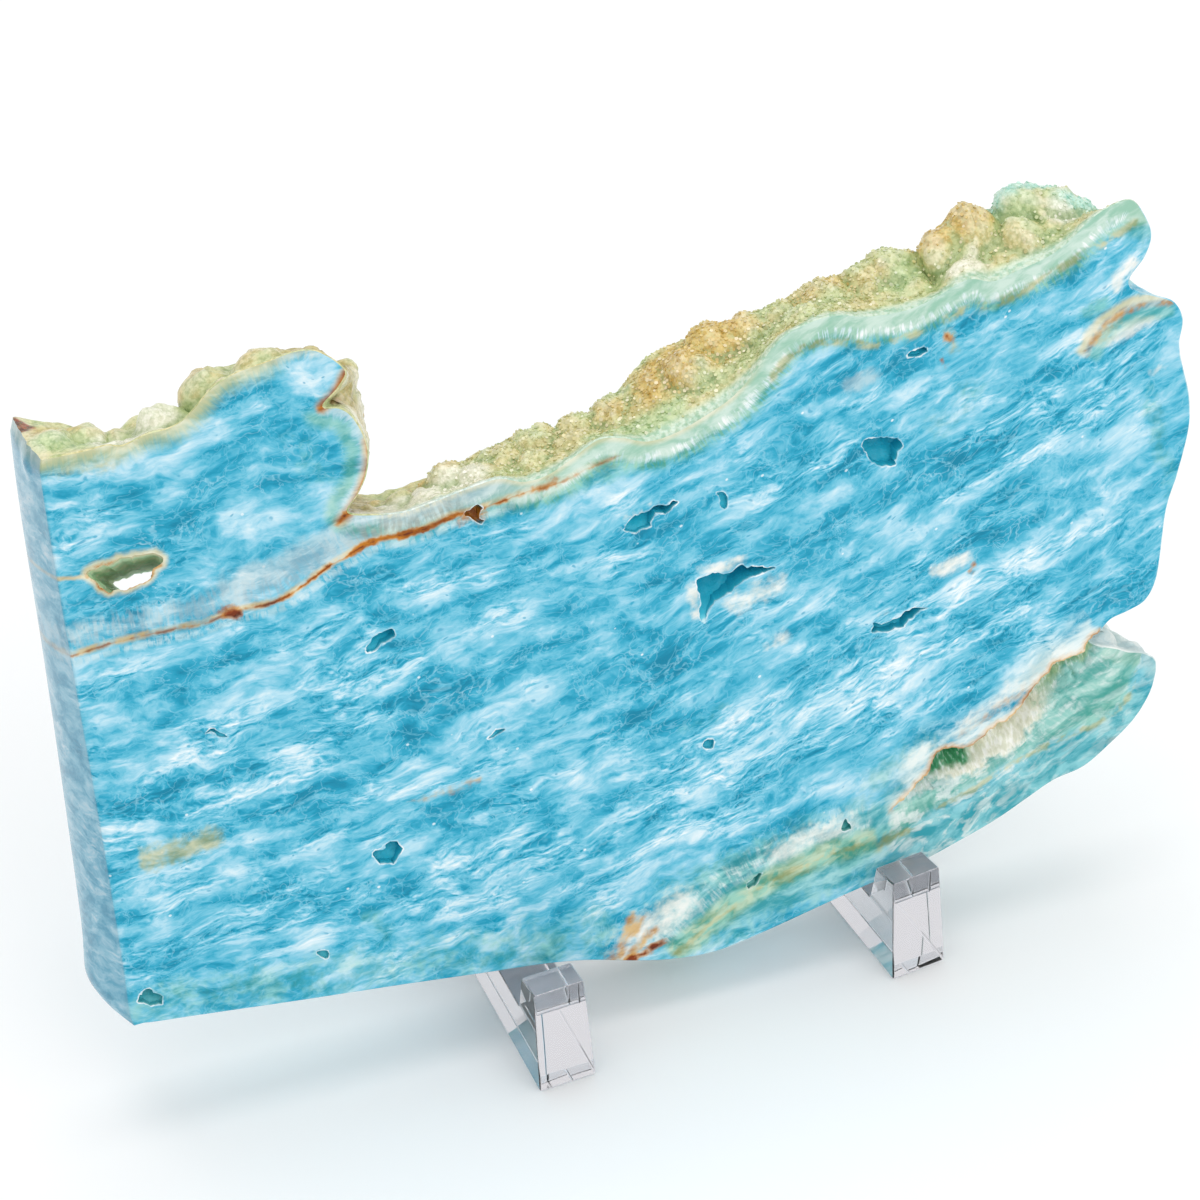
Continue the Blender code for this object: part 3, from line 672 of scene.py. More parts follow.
def welded_slab(name):
    mesh = bpy.data.meshes.new(name)
    points = np.vstack(sheets["points"])
    mesh.from_pydata(points.tolist(), [], sheets["faces"])
    kind = mesh.attributes.new("kind", "INT", "FACE")
    kind.data.foreach_set("value", np.array(sheets["kind"], np.int32))
    relief = mesh.attributes.new("relief", "FLOAT", "POINT")
    relief.data.foreach_set("value", np.concatenate(sheets["relief"]))
    shape = bmesh.new()
    shape.from_mesh(mesh)
    bmesh.ops.remove_doubles(shape, verts=shape.verts, dist=MERGE)
    bmesh.ops.dissolve_degenerate(shape, edges=shape.edges, dist=MERGE / 10)
    loose = [vertex for vertex in shape.verts if not vertex.link_faces]
    bmesh.ops.delete(shape, geom=loose, context="VERTS")
    gaps = [edge for edge in shape.edges if len(edge.link_faces) == 1]
    bmesh.ops.holes_fill(shape, edges=gaps)
    bmesh.ops.recalc_face_normals(shape, faces=shape.faces)
    open_edges = [edge for edge in shape.edges if len(edge.link_faces) != 2]
    volume = shape.calc_volume(signed=True)
    print(len(shape.verts), "points,", len(open_edges), "edges without two faces, volume", round(volume), "mm3")
    if volume < 0.0:
        bmesh.ops.reverse_faces(shape, faces=shape.faces)
    shape.to_mesh(mesh)
    shape.free()
    return mesh


slab_mesh = welded_slab("polished_aragonite_slab")
stone_points = np.zeros(len(slab_mesh.vertices) * 3)
slab_mesh.vertices.foreach_get("co", stone_points)
stone_points = stone_points.reshape(-1, 3)
triangle_count = sum(len(polygon.vertices) - 2 for polygon in slab_mesh.polygons)
print(triangle_count, "triangles in the slab")

# %% [markdown]
# The stone's markings follow real features: the crust, the rust vein, the hole, the cleft. So each
# feature is drawn once as a path on the face, and every point of the slab is told how far it lies from
# that path and how far along it. The material then paints bands by distance, with noise to break them
# up, and they stay sharp at any zoom. The layers sink as they go back, so a point inside the stone
# looks up its place on the face by sliding forward along its layer.

# %% Paths of the markings on the face
PATHS = {
    "vein": [
        (-82.0, 117.0), (-70.0, 118.0), (-60.0, 118.0), (-50.0, 117.8), (-45.0, 118.8), (-38.0, 118.6),
        (-33.0, 119.5), (-28.0, 122.0), (-24.0, 124.0), (-20.0, 125.2), (-17.0, 126.5), (-14.0, 127.3),
        (-8.0, 126.8), (-3.0, 127.3), (2.0, 128.6), (6.0, 128.4), (12.0, 129.2), (18.0, 130.0),
        (25.0, 130.4), (30.0, 132.0), (36.0, 133.0),
    ],
    "olive_line": [
        (70.0, 142.6), (73.0, 145.8), (76.0, 147.6), (80.0, 147.8), (85.0, 147.0), (90.0, 145.0),
        (95.0, 144.3), (100.0, 144.8), (105.0, 145.8), (110.0, 147.5), (115.0, 147.8), (120.0, 148.0),
        (127.0, 150.0), (133.0, 152.5), (137.0, 154.0), (143.0, 156.0), (149.0, 158.5),
    ],
    "green_band": [
        (36.0, 14.0), (45.0, 19.5), (52.0, 23.5), (58.0, 25.8), (66.0, 27.8), (72.0, 29.2), (82.0, 29.5),
    ],
    "lobe_line": [
        (84.0, 28.6), (90.0, 29.6), (96.0, 33.0), (107.0, 36.4), (118.0, 41.0), (130.0, 43.4),
        (137.0, 45.2), (142.0, 49.5), (144.0, 54.0),
    ],
    "hump_crack": [(-13.0, 166.4), (-15.0, 164.0), (-17.0, 161.0), (-18.5, 159.5), (-21.0, 157.8)],
    "hump_rust": [(-12.8, 149.0), (-13.0, 144.5), (-15.6, 138.6), (-18.6, 134.6), (-21.0, 132.8)],
    "ledge": [(137.0, 132.0), (138.6, 134.6), (141.0, 137.2), (144.5, 138.8), (149.0, 139.8), (156.0, 139.2)],
    "seam": [(-80.0, 134.6), (-76.0, 134.4), (-71.6, 133.6)],
}

# Soft patches of colour, each a short stroke (u0, v0, u1, v1, radius, strength).
PATCHES = {
    "ochre": [
        (22.6, 14.6, 27.4, 25.0, 1.5, 0.9), (26.0, 15.0, 32.0, 21.0, 1.3, 0.9),
        (20.0, 16.0, 25.0, 18.0, 1.6, 0.7), (27.6, 21.0, 29.6, 25.0, 0.9, 0.8),
        (60.0, 25.4, 68.0, 27.4, 1.4, 0.6),
        (12.0, 129.6, 25.0, 130.6, 1.4, 0.7), (29.0, 132.2, 36.0, 133.0, 1.1, 0.5),
        (-1.0, 68.0, -16.0, 66.0, 1.0, 0.5), (137.0, 39.0, 138.0, 39.4, 0.9, 0.9),
        (139.0, 134.6, 146.0, 138.8, 1.8, 0.8), (104.0, 50.0, 122.0, 60.0, 1.6, 0.4),
    ],
    "rust": [
        (27.0, 14.9, 34.0, 17.6, 0.9, 1.0), (26.0, 15.0, 28.6, 15.4, 1.3, 1.0),
        (106.8, 142.3, 107.4, 142.4, 1.0, 0.9), (105.8, 137.6, 106.4, 137.5, 0.9, 0.9),
        (-46.4, 118.9, -44.4, 119.2, 1.5, 1.0), (-39.0, 118.8, -37.4, 119.2, 0.9, 0.7),
        (3.6, 127.4, 8.2, 127.8, 2.2, 0.5), (108.6, 88.8, 109.0, 89.2, 0.7, 0.8),
        (18.0, 130.2, 23.0, 131.0, 1.2, 0.5),
        (-21.0, 133.2, -18.6, 134.6, 0.9, 0.7),
    ],
    "olive": [
        (-70.0, 68.2, -57.0, 69.0, 3.6, 0.8), (-60.0, 67.4, -56.0, 68.6, 1.8, 0.5),
        (54.0, 24.5, 62.0, 27.0, 2.4, 0.5), (85.0, 28.4, 89.0, 29.4, 1.6, 0.9), (108.0, 140.0, 107.0, 144.0, 1.8, 0.5),
        (-72.0, 157.0, -62.0, 157.4, 2.4, 0.6), (84.0, 27.4, 90.0, 28.6, 2.0, 0.6),
        (10.0, 130.4, 36.0, 132.6, 2.4, 0.6),
    ],
    "cream": [
        (101.0, 90.6, 108.0, 91.4, 2.3, 0.7), (62.0, 32.0, 76.0, 35.0, 4.6, 0.6),
        (140.0, 133.6, 151.0, 136.4, 1.9, 0.7), (26.0, 19.0, 38.0, 26.0, 6.0, 0.7),
        (58.0, 94.0, 66.0, 96.0, 3.4, 0.6), (52.0, 103.4, 60.0, 103.0, 1.5, 0.8),
        (49.0, 100.0, 48.8, 93.4, 1.8, 0.9), (36.0, 120.0, 44.0, 121.0, 0.8, 0.5),
        (63.0, 82.6, 67.0, 84.0, 2.2, 0.6), (144.0, 145.6, 148.0, 149.6, 1.9, 0.8),
        (123.5, 54.4, 126.5, 55.4, 1.5, 0.9), (138.0, 61.0, 147.0, 57.0, 2.6, 0.9),
        (104.0, 51.0, 128.0, 64.4, 2.8, 0.6), (145.6, 59.0, 148.4, 54.0, 3.0, 0.8),
        (150.0, 124.0, 153.0, 125.0, 1.2, 0.6), (88.0, 83.2, 96.0, 84.0, 0.8, 0.5),
        (92.0, 46.0, 96.0, 50.0, 3.0, 0.4),
    ],
    "teal": [
        (76.0, 26.6, 84.0, 30.0, 3.6, 0.9), (137.0, 140.6, 141.0, 141.6, 2.4, 0.7),
        (149.0, 158.0, 150.6, 156.0, 5.0, 0.6), (46.0, 29.0, 62.0, 35.0, 5.6, 0.6),
        (100.0, 30.0, 125.0, 34.0, 3.0, 0.5), (-28.0, 42.0, -25.0, 38.0, 3.0, 0.5),
        (-76.0, 36.0, -40.0, 29.0, 4.0, 0.35), (4.0, 21.0, 12.0, 24.0, 3.6, 0.6), (-20.0, 27.0, 24.0, 22.0, 4.0, 0.3),
        (44.0, 68.0, 52.0, 70.0, 3.0, 0.3), (-27.0, 152.0, -20.0, 140.0, 5.0, 0.3),
        (104.0, 124.0, 112.0, 130.0, 5.0, 0.3), (150.0, 120.0, 154.0, 96.0, 3.0, 0.4),
        (8.0, 127.4, 40.0, 130.8, 2.8, 0.7),
    ],
    "grey": [
        (-44.0, 123.4, -18.0, 130.0, 5.4, 0.9), (-76.0, 122.0, -48.0, 121.4, 3.0, 0.6),
        (-16.0, 130.4, 8.0, 131.4, 3.2, 0.9), (86.0, 137.0, 90.0, 138.0, 3.0, 0.8),
    ],
    "deep": [
        (-58.0, 139.0, -46.0, 141.5, 4.6, 0.9), (-35.0, 145.0, -29.0, 149.0, 4.4, 0.9),
        (-34.0, 157.0, -28.0, 157.0, 3.4, 0.7), (-20.0, 134.0, -30.0, 139.0, 3.4, 0.5),
        (-72.0, 152.0, -60.0, 150.0, 2.6, 0.6), (112.0, 92.0, 128.0, 99.0, 3.4, 0.6),
        (128.0, 88.0, 145.0, 94.0, 2.6, 0.7), (74.0, 143.0, 78.0, 148.0, 3.4, 0.7),
        (92.0, 112.0, 102.0, 118.0, 5.0, 0.6), (56.0, 104.0, 78.0, 108.0, 5.0, 0.6),
        (20.0, 90.0, 44.0, 104.0, 5.0, 0.6), (0.0, 90.0, 20.0, 92.0, 5.0, 0.5),
        (36.0, 112.0, 46.0, 116.0, 3.0, 0.5), (-20.0, 98.0, -6.0, 102.0, 4.6, 0.5),
        (104.0, 116.0, 130.0, 119.0, 3.4, 0.5), (44.0, 82.0, 60.0, 88.0, 4.0, 0.5),
        (-52.0, 82.0, -36.0, 86.0, 4.0, 0.4), (80.0, 136.0, 98.0, 137.0, 4.0, 0.5),
        (104.0, 64.0, 116.0, 70.0, 3.0, 0.4), (-60.0, 108.0, -40.0, 111.0, 3.0, 0.4),
        (62.0, 86.0, 76.0, 82.0, 4.0, 0.5), (80.0, 98.0, 90.0, 98.0, 4.0, 0.5),
    ],
    "pale": [
        (66.0, 60.0, 104.0, 72.0, 6.5, 0.7), (104.0, 84.0, 128.0, 84.0, 5.5, 0.7),
        (100.0, 126.0, 122.0, 134.0, 4.0, 0.5), (-74.0, 76.0, -50.0, 80.0, 5.0, 0.6),
        (-78.0, 148.0, -62.0, 144.0, 5.0, 1.0), (-78.0, 141.0, -68.0, 139.0, 4.0, 0.9),
        (14.0, 21.0, 22.0, 32.0, 5.0, 0.7),
        (-70.0, 92.0, -40.0, 96.0, 4.0, 0.5), (0.0, 44.0, 26.0, 50.0, 5.5, 0.6),
        (-60.0, 104.0, -20.0, 112.0, 3.0, 0.4), (-28.0, 160.0, -19.0, 167.0, 5.0, 0.9),
        (-20.0, 36.0, 34.0, 40.0, 5.0, 0.6), (44.0, 52.0, 74.0, 58.0, 6.0, 0.7),
        (128.0, 112.0, 144.0, 122.0, 5.0, 0.6), (-45.9, 144.0, -45.7, 144.0, 1.0, 1.0),
        (40.0, 40.0, 66.0, 44.0, 5.0, 0.6), (-72.0, 140.0, -66.0, 143.0, 4.0, 0.6),
        (-60.0, 56.0, -36.0, 62.0, 5.0, 0.5), (10.0, 122.0, 40.0, 126.0, 3.0, 0.5),
        (140.0, 144.0, 147.0, 148.0, 2.6, 0.7), (-46.0, 150.0, -40.0, 154.0, 4.0, 0.5),
        (60.0, 50.0, 80.0, 44.0, 7.0, 0.9), (82.0, 80.0, 94.0, 76.0, 5.0, 0.7),
        (30.0, 109.0, 46.0, 108.0, 5.0, 0.6), (-24.0, 52.0, -8.0, 50.0, 6.0, 0.7),
        (-10.0, 30.0, 12.0, 26.0, 5.0, 0.7), (6.0, 44.0, 20.0, 42.0, 5.0, 0.7),
        (-18.0, 105.0, -4.0, 103.0, 4.0, 0.5),
    ],
    "fibres": [
        (54.0, 58.0, 120.0, 84.0, 16.0, 1.0), (-74.0, 70.0, -20.0, 100.0, 14.0, 0.9),
        (110.0, 112.0, 146.0, 128.0, 12.0, 1.0), (-76.0, 142.0, -62.0, 150.0, 6.0, 0.8),
        (-20.0, 40.0, 40.0, 52.0, 12.0, 0.8), (60.0, 112.0, 84.0, 128.0, 10.0, 0.6),
        (-70.0, 46.0, -40.0, 52.0, 10.0, 0.6),
    ],
    "calm": [
        (-50.0, 152.0, -26.0, 140.0, 15.0, 1.0), (-40.0, 134.0, -24.0, 138.0, 8.0, 0.9),
        (112.0, 92.0, 130.0, 98.0, 5.0, 0.8), (20.0, 92.0, 44.0, 104.0, 9.0, 0.6),
        (56.0, 104.0, 80.0, 112.0, 8.0, 0.6), (90.0, 108.0, 104.0, 118.0, 8.0, 0.7),
    ],
    "sea_green": [
        (96.0, 20.0, 140.0, 44.0, 10.0, 1.0), (40.0, 22.0, 90.0, 32.0, 13.0, 1.0),
        (-76.0, 34.0, 20.0, 24.0, 8.0, 0.5), (84.0, 44.0, 96.0, 50.0, 6.0, 0.5),
    ],
}
print(len(PATHS), "paths and", sum(len(strokes) for strokes in PATCHES.values()), "soft patches")

# %% Measure every point of the slab against the paths
LAYER_SINK = 0.19
LAYER_CLIMB = 0.03
LAYER_EXTRA_CLIMB = 0.30
LAYER_BEND_AT = 30.0
LAYER_BEND_SOFTNESS = 26.0
PATH_STEP = 3.0


def layer_rise(u):
    """How far the layers have risen at u. They run nearly level at the left and climb at the right."""
    bend = np.log1p(np.exp((u - LAYER_BEND_AT) / LAYER_BEND_SOFTNESS))
    return LAYER_CLIMB * (u + 80.0) + LAYER_EXTRA_CLIMB * LAYER_BEND_SOFTNESS * bend


def store(mesh, name, values):
    values = np.asarray(values, np.float32)
    kind = "FLOAT_VECTOR" if values.ndim == 2 else "FLOAT"
    attribute = mesh.attributes.new(name, kind, "POINT")
    attribute.data.foreach_set("vector" if values.ndim == 2 else "value", values.reshape(-1))


u, v, w = stone_points.T
on_face = np.column_stack([u, v + LAYER_SINK * w])
wander = 1.1 * np.column_stack([noise_at(stone_points, 6.0, 21), noise_at(stone_points, 6.0, 22)])
wander += 0.5 * np.column_stack([noise_at(stone_points, 1.9, 23), noise_at(stone_points, 1.9, 24)])

store(slab_mesh, "layers", np.column_stack([u, on_face[:, 1] - layer_rise(u), w]))
store(slab_mesh, "place", stone_points)


def soft_strokes(points, strokes):
    """How strongly each point is covered by the softest-edged of these strokes."""
    amount = np.zeros(len(points))
    for a0, b0, a1, b1, radius, strength in strokes:
        far = beside(points + wander, [(a0, b0), (a1, b1)])[:, 0]
        amount = np.maximum(amount, strength * (1.0 - smooth_step(np.abs(far), 0.1 * radius, 1.3 * radius)))
    return amount


for name, strokes in PATCHES.items():
    store(slab_mesh, name, soft_strokes(on_face, strokes))
for name, path in PATHS.items():
    store(slab_mesh, name, beside(on_face, curve_through(path, PATH_STEP, closed=False)))
print("paths and patches measured at", len(u), "points")

# %% Measure the distance from the crust, the hollows and the lobe
CRUST_LEVELS = 5
crust_ids = np.flatnonzero(natural > 0.8)
from_crust = []
for depth in np.linspace(0.0, SLAB_THICKNESS, CRUST_LEVELS):
    from_crust.append(distance_to(stone_points, edge_ring(depth)[crust_ids[::2]]))
from_crust = np.array(from_crust)
level = np.clip(w / SLAB_THICKNESS * (CRUST_LEVELS - 1), 0.0, CRUST_LEVELS - 1.001)
lower_level = level.astype(int)
blend = level - lower_level
every = np.arange(len(u))
crust_depth = from_crust[lower_level, every] * (1 - blend) + from_crust[lower_level + 1, every] * blend
crust_run = beside(stone_points, edge_ring(0.0)[crust_ids[::2]])[:, 1]
store(slab_mesh, "crust", np.column_stack([crust_depth, crust_run, w]))

to_hole = distance_to(stone_points, hole_loop, closed=True)
to_hole_back = distance_to(stone_points, hole_back, closed=True)
store(slab_mesh, "hole_rim", np.where(w < SLAB_THICKNESS / 2, to_hole, to_hole_back))
rim_gap = np.full(len(u), 99.0)
for loop in pit_loops.values():
    rim_gap = np.minimum(rim_gap, distance_to(stone_points, loop, closed=True))
store(slab_mesh, "pit_rim", np.where(w < SLAB_THICKNESS / 2, rim_gap, 99.0))
store(slab_mesh, "cleft_upper", beside(stone_points, cleft_upper))
store(slab_mesh, "cleft_lower", beside(stone_points, cleft_lower))
lobe_border = np.vstack([[(84.0, 14.0)], cleft_upper[::-1], [(170.0, 66.4)]])
in_lobe = beside(stone_points, lobe_border)[:, 0]
store(slab_mesh, "lobe", np.where(u > 80.0, 1.0 - smooth_step(in_lobe, -0.7, 0.0), 0.0))
grainy = smooth_step(u, -6.0, 16.0) * (1.0 - 0.6 * smooth_step(u, 98.0, 108.0)) * smooth_step(w, 1.5, 4.0)
store(slab_mesh, "grainy", grainy)
print("crust depth up to", round(float(crust_depth.max())), "mm")

# %% [markdown]
# Seen from above, the crust is green in places and golden on its highest balls, with aqua balls
# at the far right and a tan dome behind the hump. Those colours follow the crust along u and w, so
# they are drawn as strokes in that plane. Its creases get a dark green painted shade from the measured relief.

# %% Colours along the crust
# Each stroke is (u0, w0, u1, w1, radius, strength).
CRUST_STROKES = {
    "crust_gold": [
        (50.0, 13.0, 65.0, 15.0, 8.0, 1.0), (110.0, 14.0, 120.0, 14.0, 6.0, 1.0),
        (38.0, 15.0, 44.0, 12.0, 4.5, 0.4), (83.0, 15.0, 92.0, 14.0, 5.0, 0.4),
        (-46.0, 17.0, -32.0, 16.0, 6.0, 0.4), (-74.0, 12.0, -68.0, 15.0, 4.0, 0.6),
        (-16.0, 14.0, -8.0, 15.0, 4.0, 0.6), (98.0, 14.0, 100.0, 14.0, 3.0, 0.3),
        (-10.0, 14.0, 6.0, 16.0, 5.0, 0.5),
    ],
    "crust_green": [
        (34.0, 5.0, 50.0, 5.0, 4.0, 0.9), (70.0, 8.0, 88.0, 9.0, 4.0, 0.5),
        (100.0, 8.0, 106.0, 12.0, 4.0, 0.7), (120.0, 12.0, 130.0, 12.0, 4.0, 0.8),
        (-73.0, 6.0, -64.0, 6.0, 5.0, 0.9),
    ],
    "crust_aqua": [
        (126.0, 18.5, 136.0, 19.0, 5.0, 0.9), (140.0, 12.0, 150.0, 12.0, 6.0, 0.8),
        (-24.0, 6.0, -16.0, 8.0, 5.0, 0.8),
    ],
    "crust_chalk": [
        (136.0, 10.0, 143.0, 8.0, 4.0, 0.8), (111.0, 4.6, 117.0, 4.6, 3.2, 0.6),
        (-26.0, 4.0, -18.0, 4.0, 4.0, 0.5), (-16.0, 7.0, 6.0, 8.0, 7.0, 1.0),
        (-62.0, 7.0, -50.0, 8.0, 6.0, 0.8),
    ],
    "crust_stain": [(-81.0, 21.0, -77.4, 16.0, 3.0, 1.6), (-19.0, 3.0, -16.0, 6.0, 2.0, 0.7)],
}
from_above = np.column_stack([u, w])
for name, strokes in CRUST_STROKES.items():
    store(slab_mesh, name, soft_strokes(from_above, strokes))
print("crust colours:", ", ".join(CRUST_STROKES))

# %% [markdown]
# Every material here is a Principled shader whose colour comes from a stack of masks. These short
# helpers add one node each and return its output, so the recipes below read from top to bottom.
# No part of a stone has one flat colour. So each name of the palette stands for two, a dark one and a
# light one, and a noise mixes them.

# %% Palette and helpers for shader nodes
PALETTE = {
    "white": ("D3E9F0", "FFFFFF"), "thread": ("74CBE2", "BDE9F5"), "deep_blue": ("0089B2", "2AA3C6"),
    "grey": ("8DB0BE", "C4D8DC"), "teal": ("17868F", "7CC8C4"), "olive": ("8C9760", "CFCB9B"),
    "cream": ("D8E0DA", "FDFAF2"), "ochre": ("A86A22", "DCB676"), "tan": ("C3AC78", "E6D6AE"),
    "rust": ("7C3804", "C67C22"), "dark_rust": ("4C1A05", "8A3A10"), "orange": ("9E5610", "D08F36"),
    "mint": ("9BC8B0", "D0E5D8"), "leaf": ("4E9C7E", "9CCFB4"), "sage": ("A5B98F", "D5DDBD"),
    "lobe_green": ("4A9F8C", "97CDBD"), "lobe_blue": ("2C9BAA", "84CBD3"), "sea": ("3FA0A4", "A4D8D4"),
    "frost": ("C6DAD8", "EEF5F1"), "straw": ("D8CD9E", "F2E9CB"), "steel": ("4587A4", "86B1C4"),
    "peach": ("D9B084", "F1DDC0"), "khaki": ("BFB577", "E1D7A2"), "crease_shade": ("7E9A60", "A9BB82"),
    "druse_green": ("9DBC86", "C9DAA8"), "gold": ("BE963C", "DFC06E"), "aqua": ("94D3C6", "C4EBE0"),
    "chalk": ("E2E2CC", "FAF8EC"), "stain": ("5A2008", "9A4A1C"), "umber": ("75683E", "9C9468"),
    "honey": ("A08F4E", "C6B67A"),
    "bottle_green": ("15804E", "3DA673"),
}


def tint(code):
    """A colour written as six hex digits, turned into the linear values that Blender mixes."""
    values = [int(code[i:i + 2], 16) / 255 for i in (0, 2, 4)]
    return (*[c / 12.92 if c <= 0.04045 else ((c + 0.055) / 1.055) ** 2.4 for c in values], 1.0)


class Recipe:
    """A material with a Principled shader, and one method for each kind of node it needs."""

    def __init__(self, name):
        self.material = bpy.data.materials.new(name)
        self.material.use_nodes = True
        self.tree = self.material.node_tree
        self.shader = self.tree.nodes["Principled BSDF"]
        self.grain = 0.5

    def add(self, kind, inputs=None, **settings):
        node = self.tree.nodes.new(kind)
        for name, value in settings.items():
            setattr(node, name, value)
        for key, value in (inputs or {}).items():
            if isinstance(value, bpy.types.NodeSocket):
                self.tree.links.new(value, node.inputs[key])
            else:
                node.inputs[key].default_value = value
        return node.outputs

    def calc(self, operation, *values):
        return self.add("ShaderNodeMath", dict(enumerate(values)), operation=operation)[0]

    def times(self, first, *others):
        for other in others:
            first = self.calc("MULTIPLY", first, other)
        return first

    def plus(self, base, share, value):
        return self.calc("MULTIPLY_ADD", value, share, base)

    def less(self, value):
        """One minus the value."""
        return self.calc("SUBTRACT", 1.0, value)

    def size(self, value):
        return self.calc("ABSOLUTE", value)

    def measured(self, name):
        return self.add("ShaderNodeAttribute", attribute_name=name)["Fac"]

    def place(self, name):
        return self.add("ShaderNodeAttribute", attribute_name=name)["Vector"]

    def split(self, vector):
        outputs = self.add("ShaderNodeSeparateXYZ", {0: vector})
        return outputs[0], outputs[1], outputs[2]

    def moved(self, vector, operation, other):
        return self.add("ShaderNodeVectorMath", {0: vector, 1: other}, operation=operation)[0]

    def noise(self, vector, size, detail=3.0, roughness=0.55, output=0):
        scaled = self.moved(vector, "MULTIPLY", tuple(1.0 / length for length in size))
        inputs = {"Vector": scaled, "Scale": 1.0, "Detail": detail, "Roughness": roughness}
        return self.add("ShaderNodeTexNoise", inputs)[output]

    def cells(self, vector, size, feature="F1"):
        scaled = self.moved(vector, "MULTIPLY", tuple(1.0 / length for length in size))
        return self.add("ShaderNodeTexVoronoi", {"Vector": scaled, "Scale": 1.0}, feature=feature)[0]

    def warped(self, vector, size, reach):
        wobble = self.moved(self.noise(vector, size, 2.0, output=1), "SUBTRACT", (0.5, 0.5, 0.5))
        return self.moved(vector, "ADD", self.moved(wobble, "MULTIPLY", reach))

    def rise(self, value, low, high, bottom=0.0, top=1.0):
        inputs = {"Value": value, "From Min": low, "From Max": high, "To Min": bottom, "To Max": top}
        return self.add("ShaderNodeMapRange", inputs, interpolation_type="SMOOTHSTEP")[0]

    def fall(self, value, low, high, share=1.0):
        return self.rise(value, low, high, share, 0.0)

    def band(self, value, start, end, soft):
        return self.times(self.rise(value, start - soft, start + soft), self.fall(value, end - soft, end + soft))

    def mix(self, share, under, over):
        return self.add("ShaderNodeMix", {0: share, 6: under, 7: over}, data_type="RGBA")[2]

    def paint(self, share, under, name):
        """Lay a colour of the palette over another, its dark and light mixed by this recipe's grain."""
        dark, light = PALETTE[name]
        return self.mix(share, under, self.mix(self.grain, tint(dark), tint(light)))

    def ramp(self, value, stops):
        outputs = self.add("ShaderNodeValToRGB", {0: value})
        elements = outputs[0].node.color_ramp.elements
        elements.remove(elements[1])
        elements[0].position = stops[0][0]
        elements[0].color = tint(stops[0][1])
        for position, code in stops[1:]:
            elements.new(position).color = tint(code)
        return outputs[0]

    def finish(self, base, bump=None, reach=0.0, strength=1.0, **values):
        """Link the base colour and a bump, if there is one, and set the other values."""
        self.tree.links.new(base, self.shader.inputs["Base Color"])
        if bump is not None:
            inputs = {"Height": bump, "Distance": reach, "Strength": strength}
            normal = self.add("ShaderNodeBump", inputs)[0]
            self.tree.links.new(normal, self.shader.inputs["Normal"])
        for name, value in values.items():
            self.shader.inputs[name.replace("_", " ")].default_value = value
        return self.material


STONE_IOR = 1.55
STONE_SPECULAR = 0.2
print(len(PALETTE), "colours in the palette")

# %% [markdown]
# The body of the stone is sky blue with white fibres. Aragonite grows as thin needles in layers, so
# the noise is stretched along the layers, and noises of several sizes are added together. Warping the
# coordinates first makes the fibres wavy. Subtracting a copy that is moved a little downwards gives
# each fibre a painted highlight on its upper side and painted shade on its underside, which reads as depth in the
# clear stone.

# %% The blue body of the stone
FIBRE = (4.0, 1.35, 4.0)
FIBRE_SHADE_SHIFT = (0.2, -0.5, 0.0)
BLUE_STOPS = [
    (0.34, "0082A2"), (0.41, "1497B8"), (0.45, "30A6C6"), (0.49, "55B7D3"), (0.525, "75C5DD"),
    (0.56, "95D1E6"), (0.60, "B2DEEE"), (0.65, "D0EAF3"), (0.72, "F0F8FB"),
]


def blue_body(recipe):
    """The fibrous blue, the noise that made it, and the wavy coordinates that it was made on."""
    layers = recipe.place("layers")
    flow = recipe.warped(layers, (30.0, 24.0, 30.0), (14.0, 8.0, 14.0))
    flow = recipe.warped(flow, (7.0, 4.4, 7.0), (5.0, 3.6, 5.0))
    cloud = recipe.noise(flow, (26.0, 10.0, 20.0), 2.0, 0.5)
    mottle = recipe.noise(flow, (8.0, 3.4, 7.0), 4.0, 0.6)
    fibre = recipe.noise(flow, FIBRE, 4.0, 0.6)
    fibre_shade_copy = recipe.noise(recipe.moved(flow, "ADD", FIBRE_SHADE_SHIFT), FIBRE, 4.0, 0.6)
    streaky = recipe.noise(flow, (15.0, 7.0, 13.0), 2.0, 0.5)
    streaky = recipe.plus(streaky, 0.16, recipe.measured("fibres"))
    busy = recipe.rise(recipe.plus(streaky, -0.22, recipe.measured("calm")), 0.46, 0.70, 0.14, 0.86)
    tone = recipe.plus(recipe.times(cloud, 0.5), 0.5, mottle)
    # Painted highlight and painted shade: the shifted copy lightens each fibre's upper side and darkens its underside.
    fibres = recipe.calc("SUBTRACT", recipe.times(fibre, 0.75), recipe.times(fibre_shade_copy, 0.40))
    tone = recipe.calc("MULTIPLY_ADD", recipe.calc("SUBTRACT", fibres, 0.175), busy, tone)
    tone = recipe.plus(tone, -0.085, recipe.measured("deep"))
    tone = recipe.plus(tone, 0.065, recipe.measured("pale"))
    recipe.grain = recipe.rise(mottle, 0.36, 0.64)
    body = recipe.ramp(tone, BLUE_STOPS)
    calm = recipe.fall(tone, 0.44, 0.56)
    curls = recipe.size(recipe.calc("SUBTRACT", recipe.noise(flow, (4.4, 3.0, 4.4), 3.0, 0.55), 0.5))
    body = recipe.paint(recipe.times(recipe.fall(curls, 0.0, 0.026, 0.36), calm), body, "thread")
    web = recipe.cells(recipe.warped(flow, (3.0, 2.4, 3.0), (4.0, 3.0, 4.0)), (5.4, 4.0, 5.4), "DISTANCE_TO_EDGE")
    body = recipe.paint(recipe.times(recipe.fall(web, 0.0, 0.06, 0.36), calm), body, "thread")
    dots = recipe.fall(recipe.cells(flow, (3.0, 2.2, 3.0)), 0.08, 0.2, 0.7)
    body = recipe.paint(recipe.times(dots, recipe.rise(mottle, 0.46, 0.58)), body, "deep_blue")
    sparks = recipe.fall(recipe.cells(layers, (7.3, 6.1, 7.3)), 0.03, 0.06, 0.8)
    return recipe.paint(sparks, body, "white"), tone, flow, layers


